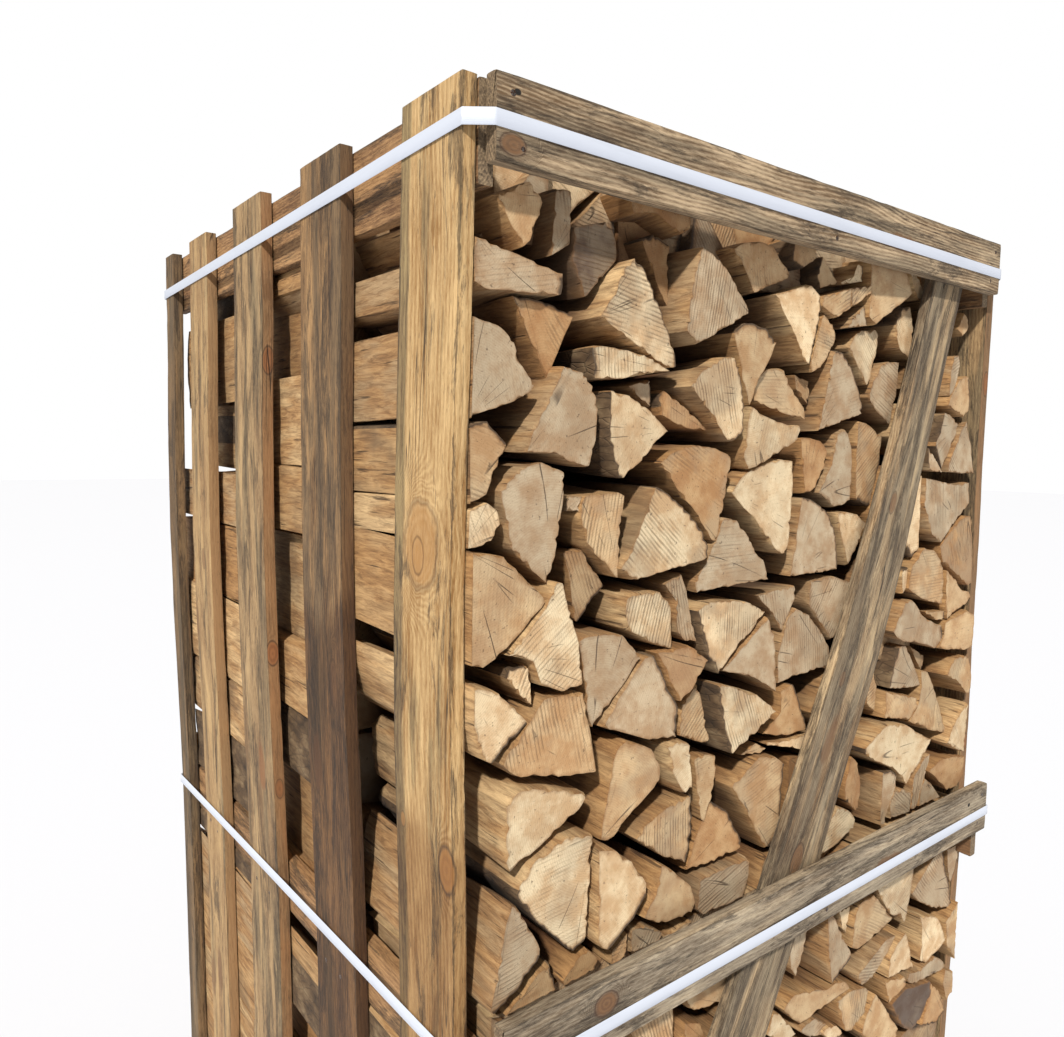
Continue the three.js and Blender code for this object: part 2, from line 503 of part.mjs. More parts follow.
// Corners in pairs, made to run counter-clockwise.
function pairs(flat) {
  const points = [];
  for (let i = 0; i < flat.length; i += 2) {
    points.push([flat[i], flat[i + 1]]);
  }
  const doubled = points.reduce((sum, [x, z], i) => {
    const [nx, nz] = points[(i + 1) % points.length];
    return sum + x * nz - nx * z;
  }, 0);
  return doubled < 0 ? points.reverse() : points;
}

// A read outline slid along the line of sight from the eye to the log's own end plane.
function placed([out, flat]) {
  const seen = pairs(flat);
  const middle = seen.reduce((sum, point) => sum + point[1], 0) / seen.length;
  const y = racked(middle) - out;
  const scale = (y - EYE[1]) / -EYE[1];
  const corners = seen.map(([x, z]) => {
    const px = EYE[0] + (x - EYE[0]) * scale;
    const pz = EYE[2] + (z - EYE[2]) * scale;
    return [Math.max(px, leftFace(pz) + BOARD + 1.5), pz];
  });
  return { y0: y, y1: racked(middle) + LOG_LENGTH - 6, corners };
}

// Split logs in courses where none can be seen from the front: a shaken lattice whose cells
// are quarters, or halves of a cell where it is split across.
// With `rim`, only those at the sides and the top, where they show. With `reach`, those beside
// the left wall stand out at the back by that much.
function courses({ x0, x1, z0, z1, columns, rows, seed, y0, y1, rim, reach = 0 }) {
  const spot = (i, j) => {
    const shakeX = i > 0 && i < columns ? 0.42 : 0;
    const shakeZ = j > 0 && j < rows ? 0.42 : 0;
    const x = x0 + ((x1 - x0) * (i + shakeX * (chance(i + seed, j) - 0.5))) / columns;
    const z = z0 + ((z1 - z0) * (j + shakeZ * (chance(i, j + seed) - 0.5))) / rows;
    return [x, z];
  };
  const logs = [];
  for (let i = 0; i < columns; i++) {
    for (let j = 0; j < rows; j++) {
      const shows = i === 0 || i === columns - 1 || j === rows - 1;
      if (rim && !shows) {
        continue;
      }
      const cell = [spot(i, j), spot(i + 1, j), spot(i + 1, j + 1), spot(i, j + 1)];
      const kind = chance(i + 3 * seed, j + 5);
      const shapes = [];
      if (kind < 0.3) {
        shapes.push([cell[0], cell[1], cell[2]], [cell[0], cell[2], cell[3]]);
      } else if (kind < 0.6) {
        shapes.push([cell[0], cell[1], cell[3]], [cell[1], cell[2], cell[3]]);
      } else {
        shapes.push(cell);
      }
      shapes.forEach((shape, part) => {
        const heights = shape.map(([, z]) => z);
        const between = ([low, high]) => Math.min(...heights) > low && Math.max(...heights) < high;
        const out = i === 0 && BACK_GAPS.some(between) ? reach : 0;
        const pressed = shape.map(([x, z]) => [out && x < x0 + 1 ? x - BACK_PRESS : x, z]);
        logs.push(courseLog(pressed, y0, y1 + out, chance(i * 2 + part, j + seed)));
      });
    }
  }
  return logs;
}

// One of them, drawn in a little from its neighbours; `short` from 0 to 1 shortens it.
function courseLog(shape, y0, y1, short) {
  const cx = shape.reduce((sum, point) => sum + point[0], 0) / shape.length;
  const cz = shape.reduce((sum, point) => sum + point[1], 0) / shape.length;
  const corners = shape.map(([x, z]) => {
    const size = Math.hypot(x - cx, z - cz);
    const keep = 1 - 4 / size;
    return [cx + (x - cx) * keep, cz + (z - cz) * keep];
  });
  const moved = racked(cz);
  return { y0: moved + y0 + 26 * short, y1: moved + y1 - 20 * (1 - short), corners };
}

// An outline with each of its sides moved outwards by `grow`.
function grown(corners, grow) {
  const n = corners.length;
  return corners.map(([x, z], i) => {
    const [beforeX, beforeZ] = corners[(i + n - 1) % n];
    const [afterX, afterZ] = corners[(i + 1) % n];
    const a = new THREE.Vector2(x - beforeX, z - beforeZ).normalize();
    const b = new THREE.Vector2(afterX - x, afterZ - z).normalize();
    const reach = grow / Math.max(0.3, 1 + a.dot(b));
    return [x + reach * (a.y + b.y), z - reach * (a.x + b.x)];
  });
}

// A log of even outline from y0 to y1, grown on all sides where a space is cut for it.
function prism({ y0, y1, corners }, grow = 0) {
  const outline = new THREE.Shape(grown(corners, grow).map(([x, z]) => new THREE.Vector2(x, z)));
  const depth = y1 - y0 + 2 * grow;
  const geometry = new THREE.ExtrudeGeometry(outline, { depth, bevelEnabled: false });
  geometry.rotateX(Math.PI / 2);
  geometry.translate(0, y1 + grow, 0);
  return toManifold(geometry);
}

// The packed middle of a row, which holds its logs together, with the racking of the crate.
function core(y0, y1) {
  const rings = [DECK_TOP + 6, 960, LOGS_TOP - 14].map((z) => {
    const x0 = leftFace(z) + 2 * BOARD + CORE_SIDE;
    const x1 = rightFace(z) - RIGHT_SLAT - BOARD - CORE_SIDE;
    return [[x0, y0], [x1, y0], [x1, y1], [x0, y1]].map(([x, y]) => [x, y + racked(z), z]);
  });
  return toManifold(loft(rings));
}

// Areas of the front row that are covered by a board or lie under the read outlines, which
// end at the height READ_FOOT.
const READ_FOOT = 675;
const HIDDEN_FRONT = [
  { x0: 36, x1: 992, z0: DECK_TOP + 3, z1: 668, columns: 7, rows: 5, seed: 11 },
  { x0: 24, x1: 462, z0: READ_FOOT, z1: 866, columns: 4, rows: 2, seed: 23 },
  { x0: 24, x1: 228, z0: 870, z1: 936, columns: 2, rows: 1, seed: 5 },
  { x0: 416, x1: 534, z0: 872, z1: 962, columns: 1, rows: 1, seed: 8 },
  { x0: 468, x1: 690, z0: READ_FOOT, z1: 756, columns: 2, rows: 1, seed: 9 },
  { x0: 44, x1: 1004, z0: 974, z1: 1038, columns: 9, rows: 1, seed: 14 },
  { x0: 44, x1: 986, z0: 1822, z1: LOGS_TOP, columns: 9, rows: 1, seed: 31, y0: 48 },
];

// Solids

const group = new THREE.Group();
group.name = "pallet_of_beech_firewood";

function add(name, geometry, material) {
  geometry.translate(-ORIGIN[0], -ORIGIN[1], 0);
  geometry.computeVertexNormals();
  const mesh = new THREE.Mesh(geometry, material);
  mesh.name = name;
  group.add(mesh);
}

function block(x0, x1, y0, y1, z0, z1) {
  const ring = (x) => [
    [x, y0, z0],
    [x, y1, z0],
    [x, y1, z1],
    [x, y0, z1],
  ];
  return loft([ring(x0), ring(x1)]);
}

const baseFront = racked(60);
const baseBack = baseFront + DEPTH;
const baseLeft = leftFace(SLAT_FOOT) + BOARD + GAP;
const baseRight = rightFace(SLAT_FOOT) - RIGHT_SLAT - GAP;
const bearerMiddle = (baseLeft + baseRight - BEARER) / 2;
const bearers = { left: baseLeft, middle: bearerMiddle, right: baseRight - BEARER };
for (const [side, x] of Object.entries(bearers)) {
  add(`bearer_${side}`, block(x, x + BEARER, baseFront, baseBack, 0, BEARER), BROWN);
}
for (let k = 0; k < DECK_COUNT; k++) {
  const y = baseFront + ((DEPTH - DECK_WIDE) * k) / (DECK_COUNT - 1);
  const deck = block(baseLeft, baseRight, y, y + DECK_WIDE, BEARER + GAP, DECK_TOP);
  add(`deck_board_${k + 1}`, deck, WEATHERED);
}

SLATS.forEach((board, k) => {
  add(`left_slat_${k + 1}`, slat(leftFace, 1, BOARD, board, k), WEATHERED);
  add(`right_slat_${k + 1}`, slat(rightFace, -1, RIGHT_SLAT, board, k + 20), WEATHERED);
});

const sideRails = {
  top: [TOP - SIDE_RAIL_HEIGHT - 2, SIDE_RAIL_HEIGHT],
  middle: [938, 76],
  bottom: [DECK_TOP + 2, SIDE_RAIL_HEIGHT],
};
const railBoxes = [];
for (const [level, [zLow, height]] of Object.entries(sideRails)) {
  const leftX = Math.max(leftFace(zLow), leftFace(zLow + height)) + BOARD + GAP;
  const rightX = Math.min(rightFace(zLow), rightFace(zLow + height)) - RIGHT_SLAT - GAP;
  add(`left_${level}_rail`, sideRail(leftX, leftX + BOARD, zLow, height), BROWN);
  add(`right_${level}_rail`, sideRail(rightX - BOARD, rightX, zLow, height), BROWN);
  railBoxes.push([leftX, leftX + BOARD, zLow, zLow + height]);
  railBoxes.push([rightX - BOARD, rightX, zLow, zLow + height]);
}

for (const [level, rail] of Object.entries(crossRails)) {
  const front = frontOf(rail);
  const back = backOf(rail);
  const size = [rail.z, RAIL_HEIGHT, rail.slope];
  add(`front_${level}_rail`, crossRail(...rail.x, front - BOARD - GAP, front - GAP, ...size), WEATHERED);
  add(`back_${level}_rail`, crossRail(...rail.x, back + BOARD + GAP, back + GAP, ...size), WEATHERED);
}
add("front_brace", brace(0.2, 1, false), WEATHERED);
add("back_brace", brace(DEPTH - 0.2, -1, true), WEATHERED);

for (const [name, band] of Object.entries(STRAPS)) {
  add(name, strap(band.heights, crossRails[band.rail]), STRAPPING);
}

const frontLogs = SMALL_LOGS.map(placed).concat(
  HIDDEN_FRONT.flatMap((area) => courses({ y0: BRACE_FACE + 2, y1: LOG_LENGTH - 8, ...area })),
);
const whole = { x0: 24, x1: 1004, z0: DECK_TOP + 3, z1: LOGS_TOP, columns: 7, rows: 16 };
const middle = { y0: ROW_PITCH, y1: ROW_PITCH + LOG_LENGTH, seed: 41, rim: true };
const middleLogs = courses({ ...whole, ...middle });
const back = { y0: 2 * ROW_PITCH, y1: DEPTH - BRACE_FACE - 4, seed: 67, reach: BACK_REACH };
const backLogs = courses({ ...whole, ...back });

// The space between the side walls, and the side rails that stand in it.
function inside() {
  const left = [];
  const right = [];
  for (let z = DECK_TOP + GAP; z < TOP; z += 130) {
    left.unshift([leftFace(z) + BOARD + GAP + 0.4, z]);
    right.push([rightFace(z) - RIGHT_SLAT - GAP - 0.4, z]);
  }
  return prism({ y0: -80, y1: DEPTH + 40, corners: [...right, ...left] });
}
const railSpace = Manifold.union(
  railBoxes.map(([x0, x1, z0, z1]) => {
    const corners = [[x0, z0], [x1, z0], [x1, z1], [x0, z1]];
    return prism({ y0: -80, y1: DEPTH + 40, corners }, GAP);
  }),
);

// What the front or back brace takes up, and the space outside it.
function braceSpace(yDeep, yOutside, mirrored) {
  const rings = [];
  for (let s = 0; s <= BRACE_STATIONS; s++) {
    const spot = (side, depth) => {
      const [x, z] = onBrace(s / BRACE_STATIONS, side, side * BRACE_ROOM);
      return [mirrored ? WIDTH - x : x, depth + racked(z), z];
    };
    rings.push([spot(-1, yDeep), spot(-1, yOutside), spot(1, yOutside), spot(1, yDeep)]);
  }
  return toManifold(loft(rings));
}
const braceSpaces = Manifold.union([
  braceSpace(BRACE_FACE, -60, false),
  braceSpace(DEPTH - BRACE_FACE, DEPTH + 60, true),
]);

// Large logs, each clear of the braces and of those before it.
const large = LARGE_LOGS.map(placed);
const kept = large.map((log) => prism(log, GAP));
large.forEach((log, k) => {
  const clear = prism(log).subtract(Manifold.union([braceSpaces, ...kept.slice(0, k)]));
  add(`split_log_${k + 1}`, fromManifold(clear), BEECH);
});

// A row as one piece: its packed middle with the log ends standing out of it, inside the
// walls and clear of the rails, the braces and the large logs.
function row(logs, y0, y1, taken) {
  const held = Manifold.union([core(y0, y1), ...logs.map((log) => prism(log))]);
  const around = Manifold.union([railSpace, braceSpaces, ...taken]);
  const pieces = held.intersect(inside()).subtract(around).decompose();
  return pieces.sort((a, b) => b.volume() - a.volume())[0]; // without chips cut off at a rail
}
const frontCore = [CORE_DEPTH, LOG_LENGTH + 2];
const middleCore = [ROW_PITCH - 2, ROW_PITCH + LOG_LENGTH + 2];
const backCore = [2 * ROW_PITCH - 2, DEPTH - CORE_DEPTH];
add("front_row_logs", fromManifold(row(frontLogs, ...frontCore, kept)), BEECH);
add("middle_row_logs", fromManifold(row(middleLogs, ...middleCore, [])), BEECH);
add("back_row_logs", fromManifold(row(backLogs, ...backCore, [])), BEECH);

export default group;
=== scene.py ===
"""Pallet of beech firewood: split logs in three rows in an open slatted crate.

Shapes are worked out in millimetres from the crate's own corner: x from the left
slats' outer face, y from the front, z from the ground. The last step of every piece
moves it to the frame, in metres. Front is -Y.
"""

import logging
import math
from collections.abc import Callable
from dataclasses import dataclass, field
from enum import Enum

import bpy
import numpy as np
from mathutils import Matrix


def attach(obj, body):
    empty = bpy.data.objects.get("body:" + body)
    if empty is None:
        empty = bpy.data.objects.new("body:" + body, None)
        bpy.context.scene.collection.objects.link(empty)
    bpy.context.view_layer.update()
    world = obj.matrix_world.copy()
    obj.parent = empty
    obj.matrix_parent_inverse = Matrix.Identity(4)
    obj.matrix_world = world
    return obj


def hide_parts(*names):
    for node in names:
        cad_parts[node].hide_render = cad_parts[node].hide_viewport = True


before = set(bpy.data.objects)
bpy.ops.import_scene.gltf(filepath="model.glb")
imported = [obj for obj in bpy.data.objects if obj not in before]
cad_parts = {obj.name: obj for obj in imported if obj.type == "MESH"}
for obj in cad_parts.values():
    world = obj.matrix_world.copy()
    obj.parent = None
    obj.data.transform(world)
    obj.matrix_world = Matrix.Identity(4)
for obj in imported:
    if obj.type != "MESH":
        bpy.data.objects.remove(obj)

LOG = logging.getLogger("firewood")
Array = np.ndarray
Material = bpy.types.Material
Point = tuple[float, float, float]
Socket = bpy.types.NodeSocket
Value = Socket | float | str | tuple[float, ...]  # what a node's input may be given

# Crate, in millimetres, as the solids have it
WIDTH, DEPTH, TOP = 1030.0, 1000.0, 1950.0
BOARD = 17.5  # thickness of rails, braces and left slats
RIGHT_SLAT = 22.0  # thickness of the right slats
GAP = 0.3  # room between touching pieces
RAIL_HEIGHT, SIDE_RAIL_HEIGHT = 79.0, 95.0
LEAN = 0.024  # the crate leans back by this much in each mm of height
ORIGIN = np.array([524.4, 478.7, 0.0])  # the frame's origin from the crate's corner
BEARER = 95.0
DECK_THICK, DECK_WIDE, DECK_COUNT = 20.0, 100.0, 7
DECK_TOP = BEARER + GAP + DECK_THICK
SLAT_FOOT = 20.0
HOLE_MM = 6.0  # a knot with a smaller half length is a nail hole, drawn as a flat dark disk: painted shade inside the hole
STRAP_WIDE, STRAP_THICK = 15.5, 0.8

# Pile: a log's length, the way from row to row, its top, and where logs behind a brace begin
LOG_LENGTH, ROW_PITCH, LOGS_TOP, BRACE_FACE = 312.0, 330.0, 1925.0, 18.5
EYE = np.array([-417.0, -655.0, 1614.0])  # where the log ends were seen from
BLEACH_AND_PAINTED_SHADE_REACH = 55.0  # depth in the pile at which the painted light, with the sun bleaching, has fallen to 1/e
CLEAR = 0.6  # room between the logs and the walls

# Brace: its middle line's ends, how far and from where on up it bends to the right, and its
# width at foot and top; logs stay clear of it by BRACE_ROOM
BRACE_TOP, BRACE_FOOT = np.array([894.0, 1919.0]), np.array([95.0, 216.0])
BRACE_BEND, BRACE_BEND_FROM, BRACE_WIDE = 36.0, 0.35, (122.0, 82.0)
BRACE_ROOM = 7.0

# The back row's logs beside the left wall stand out more at these heights, and press closer
# to the slats
BACK_REACH, BACK_GAPS, BACK_PRESS = 48.0, ((214.0, 965.0), (1084.0, 1600.0)), 4.0


class Tone(Enum):
    """Colour of a log's wood as it has dried: the sRGB hex of its sawn end."""

    CREAM = "#e4cfaa"
    GREY = "#bfad91"
    TAN = "#ccb088"
    ORANGE = "#be9a6e"
    DARK = "#5d5048"


class Skin(Enum):
    """Which finish a face of a log or board takes, as its material slot."""

    END = 0
    SIDE = 1
    BARK = 2


CREAM, GREY, TAN, ORANGE, DARK = Tone
Outline = tuple[int, Tone, tuple[int, ...]]

# Log ends as seen from EYE on the plane y = 0: how far the end stands out of the front,
# its tone, and its corners x, z. The large ones are pieces of their own.
LARGE_LOGS: tuple[Outline, ...] = (
    (-5, CREAM, (200, 1803, 216, 1818, 228, 1812, 251, 1786, 274, 1755, 293, 1724, 295, 1708, 278, 1706, 235,
        1724, 168, 1751, 189, 1778)),
    (-4, GREY, (324, 1848, 345, 1843, 366, 1833, 398, 1805, 417, 1787, 416, 1780, 394, 1770, 363, 1755, 320,
        1734, 298, 1748, 306, 1793)),
    (-8, GREY, (8, 1737, 43, 1730, 62, 1716, 74, 1694, 91, 1675, 70, 1662, 43, 1653, 8, 1641)),
    (-4, GREY, (124, 1698, 151, 1693, 164, 1680, 172, 1662, 170, 1624, 161, 1596, 132, 1602, 116, 1610, 77,
        1611, 85, 1632, 103, 1662)),
    (-3, CREAM, (185, 1678, 216, 1674, 251, 1657, 282, 1637, 266, 1627, 243, 1605, 212, 1582, 203, 1585, 186,
        1624)),
    (-16, CREAM, (463, 1810, 500, 1822, 530, 1831, 552, 1818, 554, 1797, 538, 1747, 533, 1727, 521, 1731,
        500, 1764, 480, 1787)),
    (-22, GREY, (586, 1752, 605, 1750, 628, 1731, 648, 1704, 659, 1681, 658, 1669, 609, 1656, 555, 1643, 572,
        1700)),
    (-5, CREAM, (309, 1688, 330, 1708, 367, 1727, 385, 1727, 397, 1708, 405, 1667, 407, 1641, 390, 1626, 375,
        1628, 341, 1661)),
    (-6, GREY, (49, 1574, 70, 1596, 97, 1603, 125, 1592, 127, 1562, 120, 1506, 111, 1476, 89, 1494, 63, 1517,
        57, 1547)),
    (-3, CREAM, (247, 1550, 258, 1575, 266, 1575, 308, 1550, 335, 1527, 350, 1501, 346, 1488, 289, 1479, 232,
        1472, 210, 1486, 225, 1505, 236, 1528)),
    (-8, ORANGE, (268, 1601, 297, 1618, 328, 1624, 360, 1620, 388, 1610, 383, 1580, 371, 1539, 361, 1507,
        352, 1511, 322, 1547, 306, 1560, 286, 1583)),
    (-3, CREAM, (118, 1480, 127, 1479, 138, 1447, 150, 1412, 157, 1374, 155, 1368, 128, 1365, 101, 1375, 90,
        1401, 57, 1411, 105, 1455)),
    (-10, CREAM, (392, 1566, 417, 1588, 455, 1603, 482, 1607, 508, 1606, 508, 1570, 504, 1498, 496, 1483,
        482, 1487, 433, 1533, 399, 1558)),
    (-8, GREY, (374, 1538, 398, 1533, 427, 1505, 454, 1478, 465, 1454, 337, 1448, 333, 1461, 353, 1491)),
    (-20, GREY, (529, 1558, 550, 1556, 585, 1541, 602, 1526, 616, 1497, 620, 1454, 507, 1454, 513, 1475)),
    (-6, CREAM, (332, 1428, 355, 1437, 390, 1435, 428, 1430, 473, 1412, 438, 1389, 402, 1368, 373, 1344, 351,
        1372)),
    (-20, GREY, (505, 1399, 525, 1411, 555, 1399, 588, 1373, 607, 1350, 617, 1321, 532, 1317, 496, 1312, 492,
        1351)),
    (-3, CREAM, (372, 1333, 390, 1331, 448, 1310, 484, 1288, 499, 1276, 455, 1256, 405, 1238, 399, 1247, 383,
        1289)),
    (-9, GREY, (846, 1581, 898, 1574, 948, 1568, 997, 1571, 1000, 1536, 952, 1509, 930, 1495, 900, 1476, 869,
        1491, 852, 1520, 842, 1541)),
    (-5, CREAM, (720, 1178, 752, 1195, 779, 1206, 825, 1197, 856, 1181, 904, 1160, 898, 1151, 873, 1127, 837,
        1097, 825, 1109, 802, 1129, 752, 1152, 723, 1168)),
    (-6, CREAM, (98, 1193, 139, 1206, 177, 1199, 173, 1178, 173, 1080, 153, 1072, 139, 1083, 108, 1117, 76,
        1155, 75, 1166)),
)

